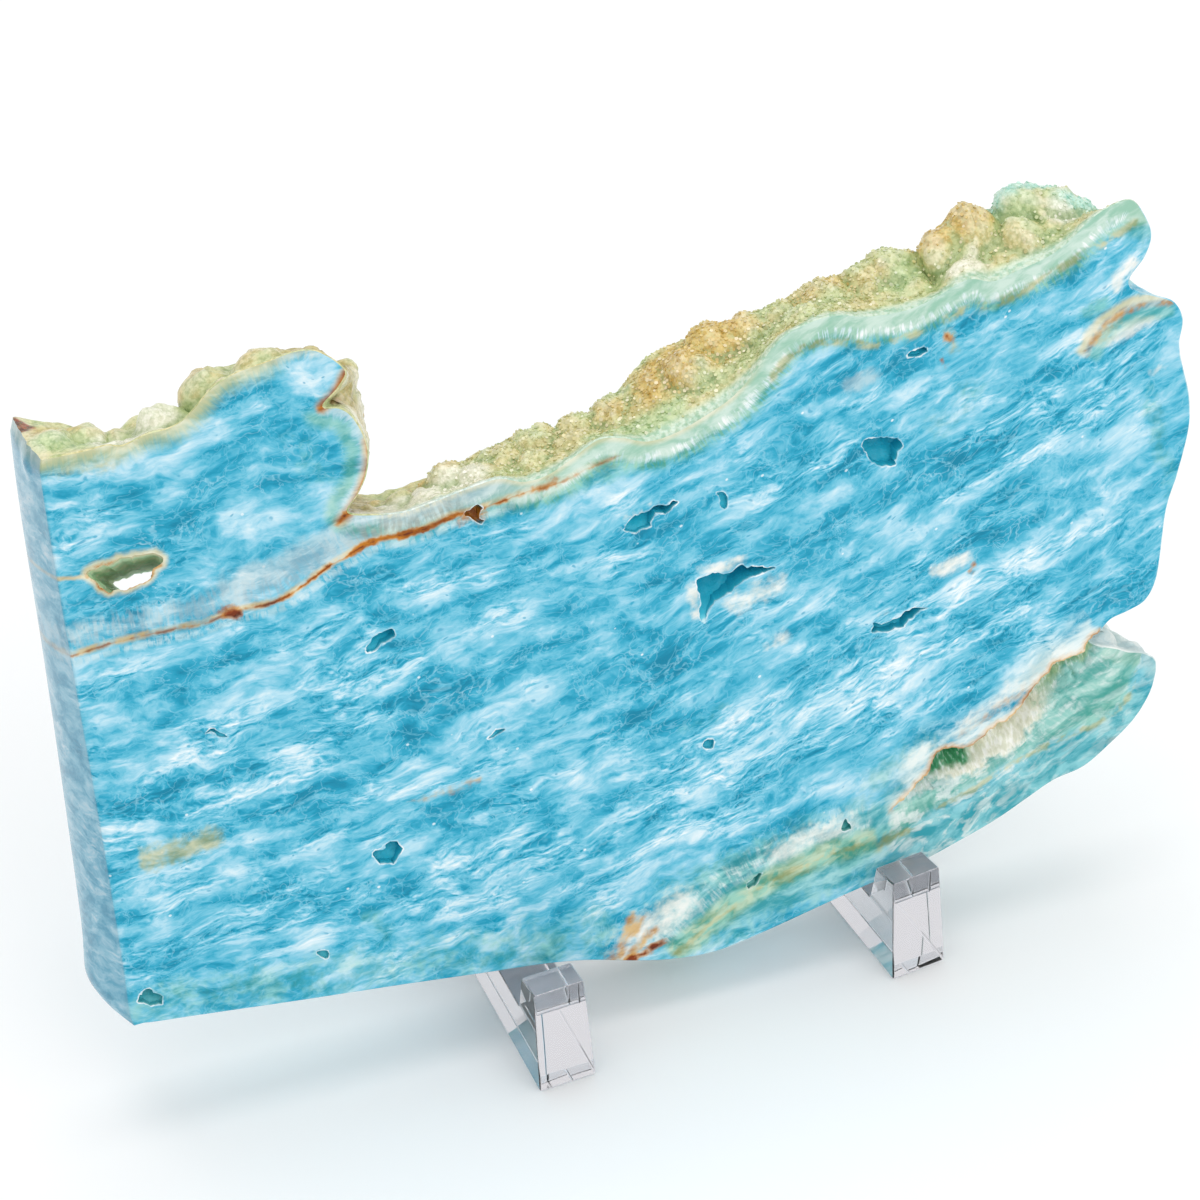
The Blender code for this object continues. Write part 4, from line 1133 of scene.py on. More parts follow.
print("the blue body has", len(BLUE_STOPS), "blues")

# %% [markdown]
# Bands and stains go over the blue body, from the broadest to the thinnest, the way a painter
# glazes. Each is a mask from a measured distance, with a little noise added to the distance so that
# its edge isn't a ruled line. Combs of fine crystal teeth grow square to the crust and the vein, so
# their noise is stretched across the path and squeezed along it.

# %% The polished face with its bands and stains


class PolishedStone(Recipe):
    """The recipe of the polished stone, with the noises that all its bands share."""

    def __init__(self, name):
        super().__init__(name)
        self.body, self.tone, self.flow, self.layers = blue_body(self)
        self.small = self.calc("SUBTRACT", self.noise(self.layers, (1.5, 1.5, 1.5), 3.0), 0.5)
        self.broad = self.calc("SUBTRACT", self.noise(self.layers, (6.0, 5.0, 6.0), 2.0), 0.5)
        self.patchy = self.rise(self.noise(self.layers, (4.4, 4.4, 4.4), 3.0), 0.42, 0.56)
        self.along, self.up, self.inward = self.split(self.place("place"))

    def wavering(self, value, fine=1.2, wide=1.2):
        return self.plus(self.plus(value, fine, self.small), wide, self.broad)

    def beside(self, name, fine=1.2, wide=1.2):
        """Wavering distance from a path, a mask that ends with the path, and the comb along it."""
        gap, run, past = self.split(self.place(name))
        comb_place = self.add("ShaderNodeCombineXYZ", {0: run, 1: gap, 2: self.inward})[0]
        comb = self.noise(comb_place, (0.85, 4.5, 3.0), 3.0, 0.6)
        return self.wavering(gap, fine, wide), self.fall(past, 0.0, 1.6), comb

    def broken(self, name, low, high, share=1.0):
        """A soft patch whose edge and inside are broken up, and that is nothing where it wasn't drawn."""
        amount = self.measured(name)
        uneven = self.plus(self.plus(amount, 0.9, self.small), 1.0, self.broad)
        return self.times(self.rise(uneven, low, high, 0.0, share), self.rise(amount, 0.0, 0.2))

    def lay(self, share, name):
        self.body = self.paint(share, self.body, name)

    def patches(self):
        for name, colour, share in (
            ("sea_green", "sea", 0.75), ("grey", "grey", 0.65), ("teal", "teal", 0.85),
            ("olive", "olive", 0.8), ("cream", "cream", 0.92), ("ochre", "ochre", 0.92),
        ):
            self.lay(self.broken(name, 0.1, 0.9, share), colour)

    def lobe(self):
        """The lobe below the cleft is greener, with white crystals under the cleft and its own bands."""
        inside = self.measured("lobe")
        line, on_line, comb = self.beside("lobe_line", 1.4, 2.4)
        self.lay(self.times(inside, self.rise(line, -1.5, 2.0, 0.0, 0.85)), "lobe_green")
        self.lay(self.times(inside, self.fall(line, -2.0, 1.5, 0.75)), "lobe_blue")
        below, on_cleft, teeth = self.beside("cleft_lower", 1.6, 3.0)
        cloudy = self.rise(self.noise(self.flow, (4.4, 2.4, 4.0), 4.0), 0.46, 0.62)
        fringe = self.times(inside, self.band(below, -6.0, 1.5, 2.4), self.rise(teeth, 0.36, 0.66))
        self.lay(self.times(fringe, self.plus(0.15, 0.5, cloudy)), "frost")
        left = self.fall(self.along, 104.0, 120.0)
        self.lay(self.times(inside, cloudy, self.plus(0.3, 0.4, left)), "frost")
        thin = self.times(inside, self.fall(self.size(line), 0.2, 1.1), self.patchy, on_line)
        self.lay(self.times(thin, 0.7), "olive")

    def belly(self):
        """A green band with olive streaks runs along the belly, below a row of white crystals."""
        line, on_line, comb = self.beside("green_band", 1.6, 1.6)
        cloudy = self.rise(self.noise(self.flow, (4.0, 2.8, 4.0), 4.0), 0.42, 0.60)
        crystals = self.times(self.band(line, 2.6, 9.0, 2.0), self.rise(comb, 0.38, 0.66), on_line)
        self.lay(self.times(crystals, self.plus(0.15, 0.6, cloudy)), "frost")
        self.lay(self.times(self.fall(self.size(line), 1.2, 4.6, 0.75), on_line), "leaf")
        self.lay(self.times(self.fall(self.size(line), 1.0, 4.0, 0.6), on_line, cloudy), "sage")
        streak = self.times(self.band(line, -0.9, 0.2, 0.4), self.patchy, on_line)
        self.lay(self.times(streak, 0.7), "olive")

    def crust_band(self):
        """Under the crust, mint turns to white teeth and an olive line. On the hump it is thin and sage."""
        depth, run, inward = self.split(self.place("crust"))
        comb_place = self.add("ShaderNodeCombineXYZ", {0: run, 1: depth, 2: inward})[0]
        teeth = self.noise(comb_place, (0.62, 5.0, 3.0), 3.0, 0.6)
        on_hump = self.fall(self.along, -15.0, -11.0)
        right = self.rise(self.along, 60.0, 72.0)
        left = self.fall(self.along, 6.0, 24.0)
        main = self.less(on_hump)
        uneven = self.plus(self.plus(self.wavering(depth, 0.9, 1.4), 3.0, self.calc("SUBTRACT", teeth, 0.5)), 0.8, on_hump)
        self.lay(self.times(self.fall(uneven, 4.2, 8.5, 0.55), main), "leaf")
        self.lay(self.times(self.fall(uneven, 3.6, 5.6, 0.95), main), "mint")
        self.lay(self.times(self.fall(uneven, 2.0, 6.0, 0.75), main, left), "grey")
        toothed = self.times(self.rise(teeth, 0.46, 0.6), main)
        tips = self.times(self.band(uneven, 3.2, 5.2, 0.6), toothed, self.rise(self.along, -10.0, 70.0, 0.3, 1.0))
        self.lay(self.times(tips, self.plus(0.3, 0.55, self.patchy)), "white")
        roots = self.times(self.band(uneven, 4.4, 6.2, 0.7), self.fall(teeth, 0.42, 0.54), main)
        self.lay(self.times(roots, self.less(left), 0.7), "leaf")
        self.lay(self.times(self.fall(depth, 0.4, 1.8, 0.6), main, self.less(right)), "straw")
        self.lay(self.times(self.fall(uneven, 1.6, 6.0, 0.9), on_hump, self.fall(self.along, -32.0, -24.0)), "sage")
        self.lay(self.times(self.fall(uneven, 0.6, 3.4, 0.6), on_hump, self.fall(self.along, -22.0, -18.0)), "straw")
        side = self.times(on_hump, self.rise(self.along, -28.0, -24.0), self.fall(self.up, 156.0, 159.0))
        self.lay(self.times(self.band(uneven, 2.6, 5.4, 1.2), side, 0.6), "leaf")
        self.lay(self.times(self.fall(uneven, 1.0, 3.4, 0.7), side), "frost")
        line, on_line, comb = self.beside("olive_line", 0.8, 0.9)
        self.lay(self.times(self.fall(self.size(line), 0.3, 1.5, 0.75), self.patchy, on_line), "olive")

    def vein_bands(self):
        """The vein is a thin rust line in a tan one, with grey combs above and a white line below."""
        line, on_line, comb = self.beside("vein", 0.9, 0.5)
        thin = self.fall(self.along, 8.0, 30.0)
        left = self.fall(self.along, -46.0, -30.0)
        combed = self.times(self.band(line, 0.8, 6.5, 1.6), self.rise(comb, 0.42, 0.6), self.fall(self.along, 0.0, 12.0))
        self.lay(self.times(combed, 0.6), "grey")
        whitish = self.times(self.band(line, -2.6, -1.0, 0.6), self.rise(comb, 0.36, 0.52), thin)
        self.lay(self.times(whitish, 0.4), "frost")
        on_left = self.times(on_line, self.plus(0.35, 0.65, thin))
        self.lay(self.times(self.band(line, -0.5, 1.0, 0.5), on_left, self.plus(0.45, 0.45, self.patchy)), "tan")
        knots = self.rise(self.noise(self.layers, (3.4, 3.4, 3.4), 2.0), 0.42, 0.62)
        thick = self.times(self.rise(self.along, -22.0, -16.0), self.fall(self.along, 1.0, 7.0))
        core = self.plus(self.size(line), -0.45, knots)
        near = self.plus(core, -0.5, thick)
        haze = self.times(self.band(line, 0.0, 3.6, 1.6), self.rise(comb, 0.34, 0.6), thick)
        self.lay(self.times(haze, 0.4), "umber")
        self.lay(self.times(self.fall(near, -0.25, 0.4), on_left, self.plus(0.75, -0.45, left)), "orange")
        self.lay(self.times(self.fall(near, -0.4, 0.14), on_left, self.plus(1.0, -0.5, left)), "rust")
        self.lay(self.times(self.fall(core, -0.45, -0.1), on_left, thin, self.plus(0.85, -0.5, left)), "dark_rust")
        seam, on_seam, comb = self.beside("seam", 0.8, 0.4)
        self.lay(self.times(self.fall(self.size(seam), 0.1, 0.8, 0.85), on_seam), "tan")

    def rims(self):
        """The rims of the hollows, and the rust in the hump's cracks and on the ledge."""
        hole = self.wavering(self.measured("hole_rim"), 1.0, 1.6)
        self.lay(self.fall(hole, 0.2, 1.7, 0.85), "straw")
        self.lay(self.times(self.fall(hole, 0.0, 0.6, 0.9), self.patchy), "ochre")
        above = self.times(self.less(self.measured("lobe")), self.rise(self.along, 84.0, 90.0))
        cleft, on_cleft, comb = self.beside("cleft_upper", 1.0, 1.2)
        cleft = self.size(cleft)
        above = self.times(above, on_cleft)
        pale = self.times(self.fall(cleft, 1.0, 10.0), above, self.rise(self.tone, 0.38, 0.54))
        self.lay(self.times(pale, 0.8), "frost")
        self.lay(self.times(self.fall(cleft, 0.4, 1.6, 0.7), above), "peach")
        self.lay(self.times(self.fall(cleft, 0.0, 0.5, 0.8), above), "ochre")
        gap, on_ledge, comb = self.beside("ledge", 1.1, 1.2)
        self.lay(self.times(self.band(gap, -3.4, -0.6, 0.9), on_ledge, 0.6), "lobe_green")
        self.lay(self.times(self.band(gap, 0.6, 2.6, 0.8), on_ledge, 0.8), "straw")
        self.lay(self.times(self.fall(self.size(gap), 0.2, 1.3, 0.8), on_ledge, self.plus(0.4, 0.6, self.patchy)), "ochre")
        rim = self.plus(self.measured("pit_rim"), 1.1, self.small)
        self.lay(self.times(self.fall(rim, 0.0, 0.36, 0.9), self.plus(0.25, 0.75, self.patchy)), "white")
        for name, core in (("hump_crack", 1.5), ("hump_rust", 0.9)):
            gap, on_crack, comb = self.beside(name, 0.6, 0.3)
            self.lay(self.times(self.fall(self.size(gap), 0.5, 2.2, 0.7), on_crack), "ochre")
            self.lay(self.times(self.fall(self.size(gap), 0.1, core), on_crack), "rust")
        self.lay(self.broken("rust", 0.15, 0.6, 0.8), "orange")
        self.lay(self.broken("rust", 0.5, 0.9), "dark_rust")
        # The sawn left end is laid steel grey: partly its own greyer sawn colour, partly painted shade on that side.
        sawn_end_grey_and_shade = self.times(self.fall(self.along, -74.0, -72.0), self.band(self.inward, 0.3, 20.4, 0.2))
        self.lay(self.times(sawn_end_grey_and_shade, 0.6), "steel")


def polished_stone():
    stone = PolishedStone("polished_aragonite")
    stone.patches()
    stone.lobe()
    stone.belly()
    stone.crust_band()
    stone.vein_bands()
    stone.rims()
    return stone.finish(stone.body, Roughness=0.14, IOR=STONE_IOR, Specular_IOR_Level=STONE_SPECULAR)


polished = polished_stone()
print(len(polished.node_tree.nodes), "nodes in", polished.name)

# %% [markdown]
# Inside a pit the stone was never polished. Its walls are deeper teal, because light that enters
# there bounces about before it comes out. The hole is lined with sage green druse, painted paler than the druse itself
# as painted light inside the hole, and the cleft goes from white crystals at its mouth to deep green and a painted
# brown shade under its upper edge.

# %% Walls of the hollows


def pit_walls():
    recipe = Recipe("pit_walls")
    place = recipe.place("place")
    depth = recipe.split(place)[2]
    mottle = recipe.noise(place, (2.4, 2.4, 2.4), 3.0)
    recipe.grain = recipe.rise(mottle, 0.35, 0.65)
    depth = recipe.plus(depth, 1.0, recipe.calc("SUBTRACT", mottle, 0.5))
    wall = recipe.ramp(recipe.times(depth, 0.16), [
        (0.02, "C6E8EF"), (0.06, "6CCBDC"), (0.14, "35BDD4"), (0.45, "2ABAD2"), (1.0, "22B2CC"),
    ])
    wall = recipe.paint(recipe.rise(recipe.measured("rust"), 0.1, 0.4), wall, "orange")
    green = recipe.times(recipe.measured("sea_green"), 0.6)
    wall = recipe.paint(green, wall, "leaf")
    return recipe.finish(
        wall, recipe.noise(place, (0.9, 0.9, 0.9), 3.0), 0.0003, 0.6,
        Roughness=0.35, IOR=STONE_IOR, Specular_IOR_Level=STONE_SPECULAR,
    )


def hole_walls():
    recipe = Recipe("hole_walls")
    place = recipe.place("place")
    mottle = recipe.noise(place, (2.4, 2.4, 2.4), 3.0)
    recipe.grain = mottle
    # Painted light: these greens are paler than the sage green druse itself, to brighten the shaded inside of the
    # hole.
    wall = recipe.ramp(mottle, [(0.3, "B4DDB8"), (0.46, "CCEAC6"), (0.6, "E2EDCB"), (0.75, "F6F2DE")])
    wall = recipe.paint(recipe.fall(recipe.split(place)[2], 0.2, 2.4, 0.8), wall, "tan")
    return recipe.finish(
        wall, recipe.noise(place, (0.7, 0.7, 0.7), 3.0), 0.0004, 0.6,
        Roughness=0.45, IOR=STONE_IOR, Specular_IOR_Level=STONE_SPECULAR,
    )


def cleft_walls():
    """The lobe's own colours go on into the cleft. Deeper down come white crystals, a painted brown shade and green.
    """
    stone = PolishedStone("cleft_crystal")
    stone.lobe()
    needles = stone.noise(stone.place("place"), (0.8, 3.0, 2.0), 3.0)
    stone.grain = stone.rise(needles, 0.38, 0.62)
    depth = stone.plus(stone.plus(stone.inward, 2.4, stone.small), 3.0, stone.broad)
    right = stone.rise(stone.plus(stone.along, 8.0, stone.small), 120.0, 127.0)
    crystals = stone.times(stone.less(right), stone.rise(stone.along, 94.0, 102.0, 0.45, 0.95))
    stone.lay(stone.times(stone.rise(depth, -0.2, 1.0), crystals), "chalk")
    # Painted shade: khaki and then umber darken the cleft's floor the deeper it lies under the upper edge.
    stone.lay(stone.times(stone.rise(depth, 3.6, 6.0, 0.0, 0.7), stone.less(right)), "khaki")
    stone.lay(stone.times(stone.rise(depth, 5.4, 8.0, 0.0, 0.8), stone.less(right)), "umber")
    stone.lay(stone.times(stone.rise(depth, 0.6, 3.0), right, 0.8), "druse_green")
    pocket = stone.fall(stone.size(stone.calc("SUBTRACT", stone.along, 101.5)), 3.4, 6.0, 0.95)
    stone.lay(stone.times(pocket, stone.rise(depth, 1.4, 3.4)), "bottle_green")
    stone.lay(stone.times(stone.rise(needles, 0.54, 0.64), stone.rise(depth, 0.3, 1.2), 0.4), "white")
    return stone.finish(stone.body, needles, 0.0005, 0.7, Roughness=0.3, IOR=STONE_IOR)


pit_material, hole_material, cleft_material = pit_walls(), hole_walls(), cleft_walls()
print("hollow materials:", pit_material.name, hole_material.name, cleft_material.name)

# %% [markdown]
# Druse is a skin of tiny crystals. Their faces sparkle, so the crust's roughness is low and its bump
# is sharp and fine. The measured relief lays a dark green painted shade in the creases and a pale painted highlight on
# the balls, and more painted shade darkens the gaps between the grains of the bump.

# %% The druse crust


def druse_colour(recipe, place):
    blotch = recipe.noise(place, (7.0, 7.0, 7.0), 3.0)
    fine = recipe.noise(place, (1.3, 1.3, 1.3), 3.0)
    recipe.grain = recipe.rise(fine, 0.34, 0.62)
    uneven = recipe.calc("SUBTRACT", blotch, 0.5)
    crust = recipe.paint(1.0, tint("E6E0B4"), "khaki")
    crust = recipe.paint(recipe.rise(uneven, -0.12, 0.1, 0.6, 0.0), crust, "druse_green")
    for name, colour, share in (
        ("crust_green", "druse_green", 0.85), ("crust_gold", "gold", 0.85), ("crust_aqua", "aqua", 0.9),
        ("crust_chalk", "chalk", 0.85), ("crust_stain", "stain", 0.95),
    ):
        amount = recipe.plus(recipe.measured(name), 0.9, uneven)
        crust = recipe.paint(recipe.rise(amount, 0.1, 0.8, 0.0, share), crust, colour)
    return crust


def druse_crust():
    recipe = Recipe("druse_crust")
    place = recipe.place("place")
    along, up, inward = recipe.split(place)
    crust = druse_colour(recipe, place)
    relief = recipe.measured("relief")
    # Painted shade in the creases and a painted highlight on the highest balls, both from the measured relief.
    crust = recipe.paint(recipe.fall(relief, -0.8, 0.1, 0.7), crust, "crease_shade")
    crust = recipe.paint(recipe.rise(relief, 0.2, 1.0, 0.0, 0.25), crust, "chalk")
    crust = recipe.paint(recipe.rise(recipe.measured("crust_stain"), 0.3, 0.9), crust, "stain")
    main = recipe.rise(along, -14.0, -10.0)
    dome = recipe.times(recipe.less(main), recipe.rise(along, -27.0, -23.0), recipe.rise(inward, 2.0, 4.0))
    crust = recipe.paint(recipe.times(dome, 0.9), crust, "honey")
    lip = recipe.times(recipe.fall(inward, 1.0, 3.4, 0.85), main)
    crust = recipe.paint(lip, crust, "mint")
    crust = recipe.paint(recipe.times(lip, recipe.fall(along, 6.0, 20.0)), crust, "frost")
    grains = recipe.cells(place, (0.6, 0.6, 0.6))
    # Painted shade between the grains of the bump.
    crust = recipe.paint(recipe.rise(grains, 0.4, 0.8, 0.0, 0.25), crust, "crease_shade")
    return recipe.finish(
        crust, recipe.times(grains, -1.0), 0.00015, 0.5, Roughness=0.24, IOR=STONE_IOR, Specular_IOR_Level=0.5
    )


def worn_edge():
    recipe = Recipe("worn_edge")
    body, tone, flow, layers = blue_body(recipe)
    place = recipe.place("place")
    up = recipe.split(place)[1]
    pale = recipe.rise(recipe.noise(place, (4.0, 4.0, 4.0), 3.0), 0.38, 0.62, 0.0, 0.6)
    body = recipe.paint(pale, body, "frost")
    body = recipe.paint(recipe.times(recipe.measured("crust_aqua"), 0.6), body, "aqua")
    body = recipe.paint(recipe.times(recipe.measured("sea_green"), 0.6), body, "lobe_green")
    lobe_top = recipe.times(recipe.fall(up, 64.0, 68.0), recipe.rise(up, 44.0, 54.0))
    body = recipe.paint(recipe.times(lobe_top, 0.8), body, "cream")
    return recipe.finish(
        body, recipe.noise(place, (1.2, 1.2, 1.2), 3.0), 0.0004, 0.5,
        Roughness=0.4, IOR=STONE_IOR, Specular_IOR_Level=STONE_SPECULAR,
    )


druse_material, worn_material = druse_crust(), worn_edge()
print("edge materials:", druse_material.name, worn_material.name)

# %% Finish the slab
STONE_MATERIALS = {
    FACE: polished, SAWN_SIDE: polished, CRUST_SIDE: druse_material, HOLLOW: pit_material,
    TUNNEL: hole_material, CLEFT: cleft_material, WORN_SIDE: worn_material,
}
SHARP_ANGLE = math.radians(38.0)

kinds = np.zeros(len(slab_mesh.polygons), np.int32)
slab_mesh.attributes["kind"].data.foreach_get("value", kinds)
for material in STONE_MATERIALS.values():
    if material.name not in slab_mesh.materials:
        slab_mesh.materials.append(material)
index_of_kind = [slab_mesh.materials.find(STONE_MATERIALS[kind].name) for kind in range(len(STONE_MATERIALS))]
slab_mesh.polygons.foreach_set("material_index", np.array(index_of_kind, np.int32)[kinds])
slab_mesh.vertices.foreach_set("co", stand_up(stone_points).reshape(-1).astype(np.float32))
slab_mesh.shade_smooth()
slab_mesh.set_sharp_from_angle(angle=SHARP_ANGLE)
slab_mesh.update()
slab = bpy.data.objects.new("polished_aragonite_slab", slab_mesh)
bpy.context.scene.collection.objects.link(slab)
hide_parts("slab")
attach(slab, "root")
print("slab placed, with", len(slab_mesh.materials), "materials")

# %% [markdown]
# The crust glitters because it is covered with separate crystals. Scattering thousands of them by
# hand is hopeless, so a Geometry Nodes group does it. It spreads points over the crust's own faces
# only, never closer together than a set distance, and puts a tiny five sided crystal on each, tilted
# and sized at random. Realize Instances then makes them real faces.

# %% Scatter the druse crystals
GRAIN_GAP = 0.7 * MM
GRAIN_DENSITY = 2.4e6
GRAIN_SEED = 7
GRAIN_HEIGHT = 0.55 * MM
GRAIN_RADIUS = 0.36 * MM
GRAIN_SINK = 0.14 * MM
GRAIN_TILT = 0.6


def grain_material():
    """The crystals take the crust's own colours. Each is a little lighter or darker than the next, and chalk white
    speckles on them are painted glints.
    """
    recipe = Recipe("druse_grain")
    place = recipe.place("place")
    colour = druse_colour(recipe, place)
    # Painted glints: chalk white speckles over the crystals' colour.
    speckle_glint = recipe.noise(place, (0.9, 0.9, 0.9), 1.0)
    colour = recipe.paint(recipe.rise(speckle_glint, 0.46, 0.64, 0.0, 0.4), colour, "chalk")
    return recipe.finish(colour, Roughness=0.14, IOR=STONE_IOR, Specular_IOR_Level=0.6)


def socket_named(group, name, kind, value):
    socket = group.interface.new_socket(name, in_out="INPUT", socket_type=kind)
    socket.default_value = value
    return socket.identifier


def crystal_scatter():
    """The node group that spreads crystals over the crust, and the identifiers of its named inputs."""
    group = bpy.data.node_groups.new("druse_crystals", "GeometryNodeTree")
    group.interface.new_socket("Stone", in_out="INPUT", socket_type="NodeSocketGeometry")
    group.interface.new_socket("Crystals", in_out="OUTPUT", socket_type="NodeSocketGeometry")
    inputs = {
        "Smallest gap": socket_named(group, "Smallest gap", "NodeSocketFloat", GRAIN_GAP),
        "Density": socket_named(group, "Density", "NodeSocketFloat", GRAIN_DENSITY),
        "Seed": socket_named(group, "Seed", "NodeSocketInt", GRAIN_SEED),
        "Tilt": socket_named(group, "Tilt", "NodeSocketFloat", GRAIN_TILT),
    }

    def add(kind, links=None, **settings):
        node = group.nodes.new(kind)
        for name, value in settings.items():
            setattr(node, name, value)
        for key, value in (links or {}).items():
            if isinstance(value, bpy.types.NodeSocket):
                group.links.new(value, node.inputs[key])
            else:
                node.inputs[key].default_value = value
        return node.outputs

    given = add("NodeGroupInput")
    kind = add("GeometryNodeInputNamedAttribute", {"Name": "kind"}, data_type="INT")
    on_crust = add("FunctionNodeCompare", {2: kind["Attribute"], 3: CRUST_SIDE}, data_type="INT", operation="EQUAL")
    grainy = add("GeometryNodeInputNamedAttribute", {"Name": "grainy"}, data_type="FLOAT")
    spread = add("GeometryNodeDistributePointsOnFaces", {
        "Mesh": given["Stone"], "Selection": on_crust[0], "Distance Min": given["Smallest gap"],
        "Density Max": given["Density"], "Density Factor": grainy["Attribute"], "Seed": given["Seed"],
    }, distribute_method="POISSON")
    crystal = add("GeometryNodeMeshCone", {
        "Vertices": 5, "Side Segments": 1, "Fill Segments": 1, "Radius Top": 0.3 * GRAIN_RADIUS,
        "Radius Bottom": GRAIN_RADIUS, "Depth": GRAIN_HEIGHT,
    }, fill_type="NGON")
    sunk = add("GeometryNodeTransform", {"Geometry": crystal["Mesh"], "Translation": (0.0, 0.0, -GRAIN_SINK)})
    lean = add("ShaderNodeVectorMath", {0: (-1.0, -1.0, -1.0), "Scale": given["Tilt"]}, operation="SCALE")
    other_lean = add("ShaderNodeVectorMath", {0: (1.0, 1.0, 1.0), "Scale": given["Tilt"]}, operation="SCALE")
    tilted = add("FunctionNodeRandomValue", {
        "Min": lean[0], "Max": other_lean[0], "Seed": given["Seed"],
    }, data_type="FLOAT_VECTOR")
    turn = add("FunctionNodeRotateRotation", {
        "Rotation": spread["Rotation"], "Rotate By": tilted[0],
    }, rotation_space="LOCAL")
    bigness = add("FunctionNodeRandomValue", {2: 0.6, 3: 1.35, "Seed": given["Seed"]}, data_type="FLOAT")
    placed = add("GeometryNodeInstanceOnPoints", {
        "Points": spread["Points"], "Instance": sunk["Geometry"], "Rotation": turn[0], "Scale": bigness[1],
    })
    real = add("GeometryNodeRealizeInstances", {"Geometry": placed["Instances"]})
    painted = add("GeometryNodeSetMaterial", {"Geometry": real["Geometry"], "Material": grain_material()})
    add("NodeGroupOutput", {"Crystals": painted["Geometry"]})
    return group, inputs


group, inputs = crystal_scatter()
carrier = bpy.data.objects.new("crystal_carrier", slab_mesh.copy())
bpy.context.scene.collection.objects.link(carrier)
modifier = carrier.modifiers.new("druse_crystals", "NODES")
modifier.node_group = group
modifier[inputs["Smallest gap"]] = GRAIN_GAP
modifier[inputs["Density"]] = GRAIN_DENSITY
modifier[inputs["Seed"]] = GRAIN_SEED
modifier[inputs["Tilt"]] = GRAIN_TILT
evaluated = carrier.evaluated_get(bpy.context.evaluated_depsgraph_get())
grain_mesh = bpy.data.meshes.new_from_object(evaluated)
grain_mesh.name = "druse_crystals"
carrier.modifiers.remove(modifier)
bpy.data.objects.remove(carrier)
crystals = bpy.data.objects.new("druse_crystals", grain_mesh)
bpy.context.scene.collection.objects.link(crystals)
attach(crystals, "root")
print(len(grain_mesh.polygons) // 7, "crystals with", len(grain_mesh.polygons), "faces")

# %% [markdown]
# The feet are cut and polished from thick clear acrylic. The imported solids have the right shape, but
# their rounded edges are made of a few flat strips. Each foot gets a copy whose strips are shaded as
# one curve. A Weighted Normal modifier keeps the big faces flat while it does so. The plastic is fully
# clear, with the refractive index of acrylic and a faint grey violet in its thick parts. Small
# differences in roughness stand for the marks that handling leaves.

# %% Clear acrylic for the feet
ACRYLIC_IOR = 1.49
SAME_POINT = 0.001 * MM
SAME_PLANE = math.radians(1.0)
CURVE_ANGLE = math.radians(50.0)


def clear_acrylic():
    recipe = Recipe("clear_acrylic")
    place = recipe.add("ShaderNodeTexCoord")["Object"]
    recipe.grain = recipe.noise(place, (0.012, 0.012, 0.012), 2.0)
    worn = recipe.rise(recipe.noise(place, (0.004, 0.004, 0.004), 3.0), 0.5, 0.7, 0.004, 0.04)
    recipe.tree.links.new(worn, recipe.shader.inputs["Roughness"])
    colour = recipe.mix(recipe.grain, tint("F4F2F8"), tint("FAF9FC"))
    return recipe.finish(colour, IOR=ACRYLIC_IOR, Transmission_Weight=1.0)


def softened_copy(node, name):
    """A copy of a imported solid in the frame's own place, with its rounded edges shaded as curves."""
    mesh = bpy.data.meshes.new(name)
    shape = bmesh.new()
    shape.from_mesh(node.data)
    shape.transform(node.matrix_world)
    bmesh.ops.remove_doubles(shape, verts=shape.verts, dist=SAME_POINT)
    bmesh.ops.dissolve_limit(shape, angle_limit=SAME_PLANE, verts=shape.verts, edges=shape.edges)
    shape.to_mesh(mesh)
    shape.free()
    mesh.shade_smooth()
    mesh.set_sharp_from_angle(angle=CURVE_ANGLE)
    copy = bpy.data.objects.new(name, mesh)
    bpy.context.scene.collection.objects.link(copy)
    weighted = copy.modifiers.new("weighted", "WEIGHTED_NORMAL")
    weighted.keep_sharp = True
    copy.data = bpy.data.meshes.new_from_object(copy.evaluated_get(bpy.context.evaluated_depsgraph_get()))
    copy.modifiers.remove(weighted)
    return copy


acrylic = clear_acrylic()
for name in ("left_stand_foot", "right_stand_foot"):
    foot = softened_copy(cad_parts[name], name + "_polished")
    foot.data.materials.clear()
    foot.data.materials.append(acrylic)
    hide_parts(name)
    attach(foot, "root")
    print(foot.name, "has", len(foot.data.polygons), "faces")

# %% [markdown]
# The setting is plain: a pale floor, a bright even sky like a photographer's light tent, one large
# soft light from the upper left and a weaker one from the right.

# %% Floor, lights and camera
FLOOR_SIZE = 6.0
FLOOR_DROP = 0.0003
LIGHTS = {
    "key_softbox": ((0.45, -1.1, 1.0), 1.0, 5.0),
    "top_softbox": ((0.0, 0.3, 1.5), 1.2, 7.0),
}
LIGHT_TARGET = Vector((0.0, 0.0, 0.08))

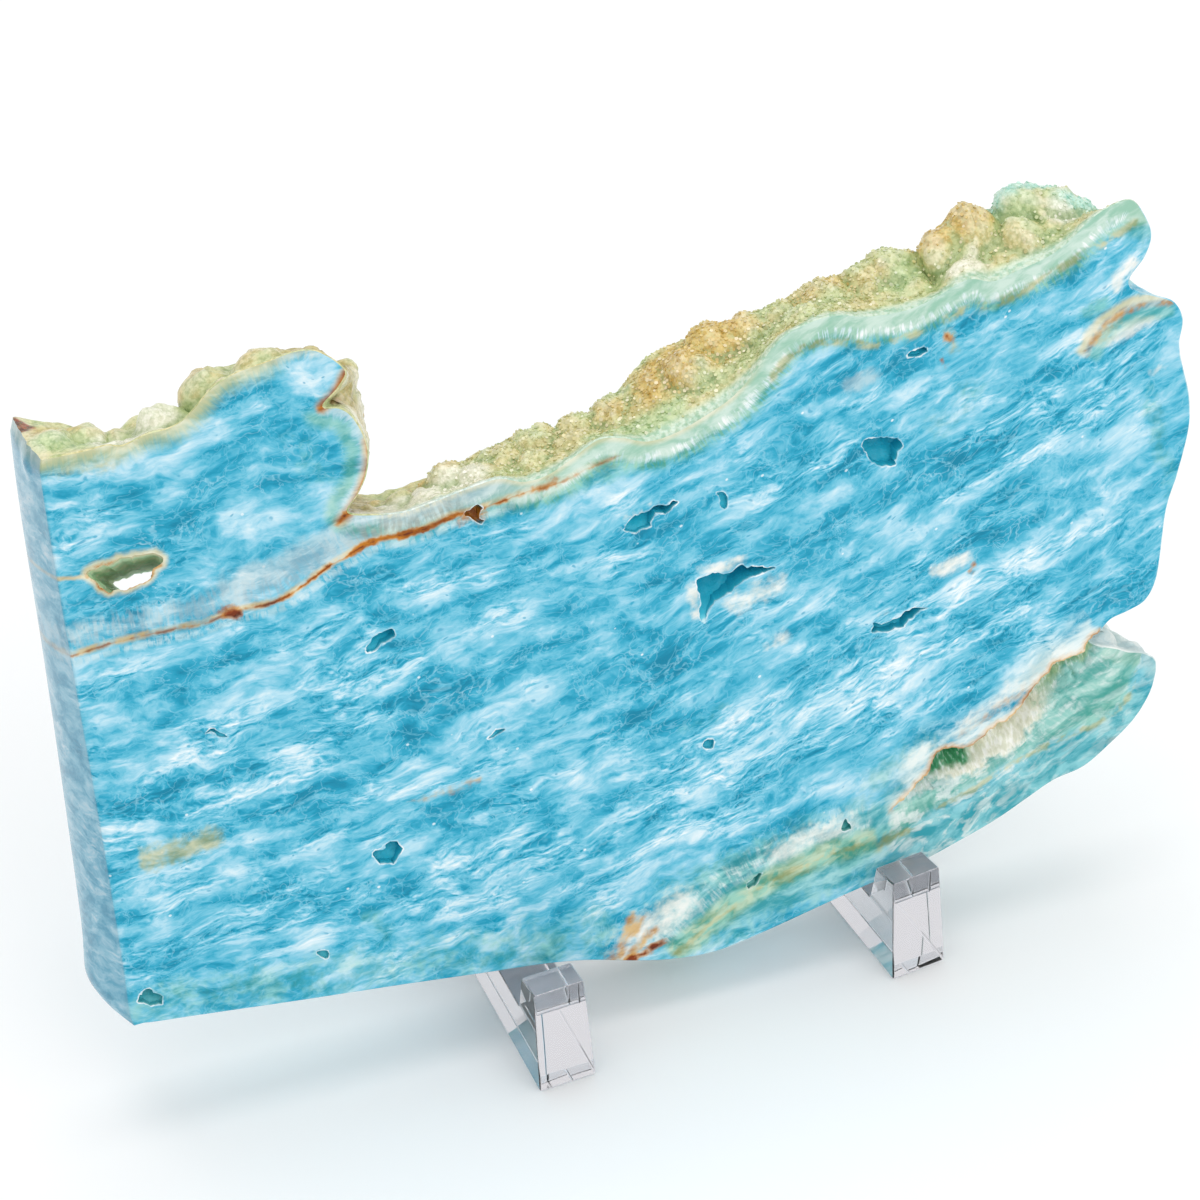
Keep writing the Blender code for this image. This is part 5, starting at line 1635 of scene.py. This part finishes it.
bpy.ops.mesh.primitive_plane_add(size=FLOOR_SIZE, location=(0.0, 0.0, -FLOOR_DROP))
floor = bpy.context.object
floor.name = "floor"
pale_floor = Recipe("pale_floor")
pale_floor.shader.inputs["Base Color"].default_value = tint("FBFBFB")
pale_floor.shader.inputs["Roughness"].default_value = 0.7
floor.data.materials.append(pale_floor.material)

for name, (place, size, power) in LIGHTS.items():
    data = bpy.data.lights.new(name, "AREA")
    data.size = size
    data.energy = power
    lamp = bpy.data.objects.new(name, data)
    lamp.location = place
    lamp.rotation_euler = (LIGHT_TARGET - Vector(place)).to_track_quat("-Z", "Y").to_euler()
    bpy.context.scene.collection.objects.link(lamp)

world = bpy.data.worlds.new("light_tent")
world.use_nodes = True
background = world.node_tree.nodes["Background"]
background.inputs["Color"].default_value = (1.0, 1.0, 1.0, 1.0)
background.inputs["Strength"].default_value = 0.78
bpy.context.scene.world = world
bpy.context.scene.view_settings.view_transform = "Standard"
print(len(LIGHTS), "lights")

# %% [markdown]
# The camera's place was worked out from the photo by fitting both feet, which are boxes of a known
# width. It is a long lens from the front left, well above the slab. Its three axes are given as the
# columns of its rotation.

# %% Camera at the photo's angle
CAMERA_PLACE = (-0.16779, -0.63177, 0.59098)
CAMERA_RIGHT = (0.95435, -0.29136, -0.06577)
CAMERA_UP = (0.22745, 0.56616, 0.79230)
CAMERA_FORWARD = (0.19360, 0.77109, -0.60658)
CAMERA_LENS = 120.0
CAMERA_SHIFT = (0.0048, 0.0100)

camera_data = bpy.data.cameras.new("camera")
camera_data.lens = CAMERA_LENS
camera_data.sensor_width = 36.0
camera_data.shift_x, camera_data.shift_y = CAMERA_SHIFT
camera_data.clip_start = 0.01
camera = bpy.data.objects.new("camera", camera_data)
axes = Matrix((CAMERA_RIGHT, CAMERA_UP, [-value for value in CAMERA_FORWARD])).transposed()
camera.matrix_world = Matrix.Translation(CAMERA_PLACE) @ axes.to_4x4()
bpy.context.scene.collection.objects.link(camera)
bpy.context.scene.camera = camera
print("camera at", CAMERA_PLACE)
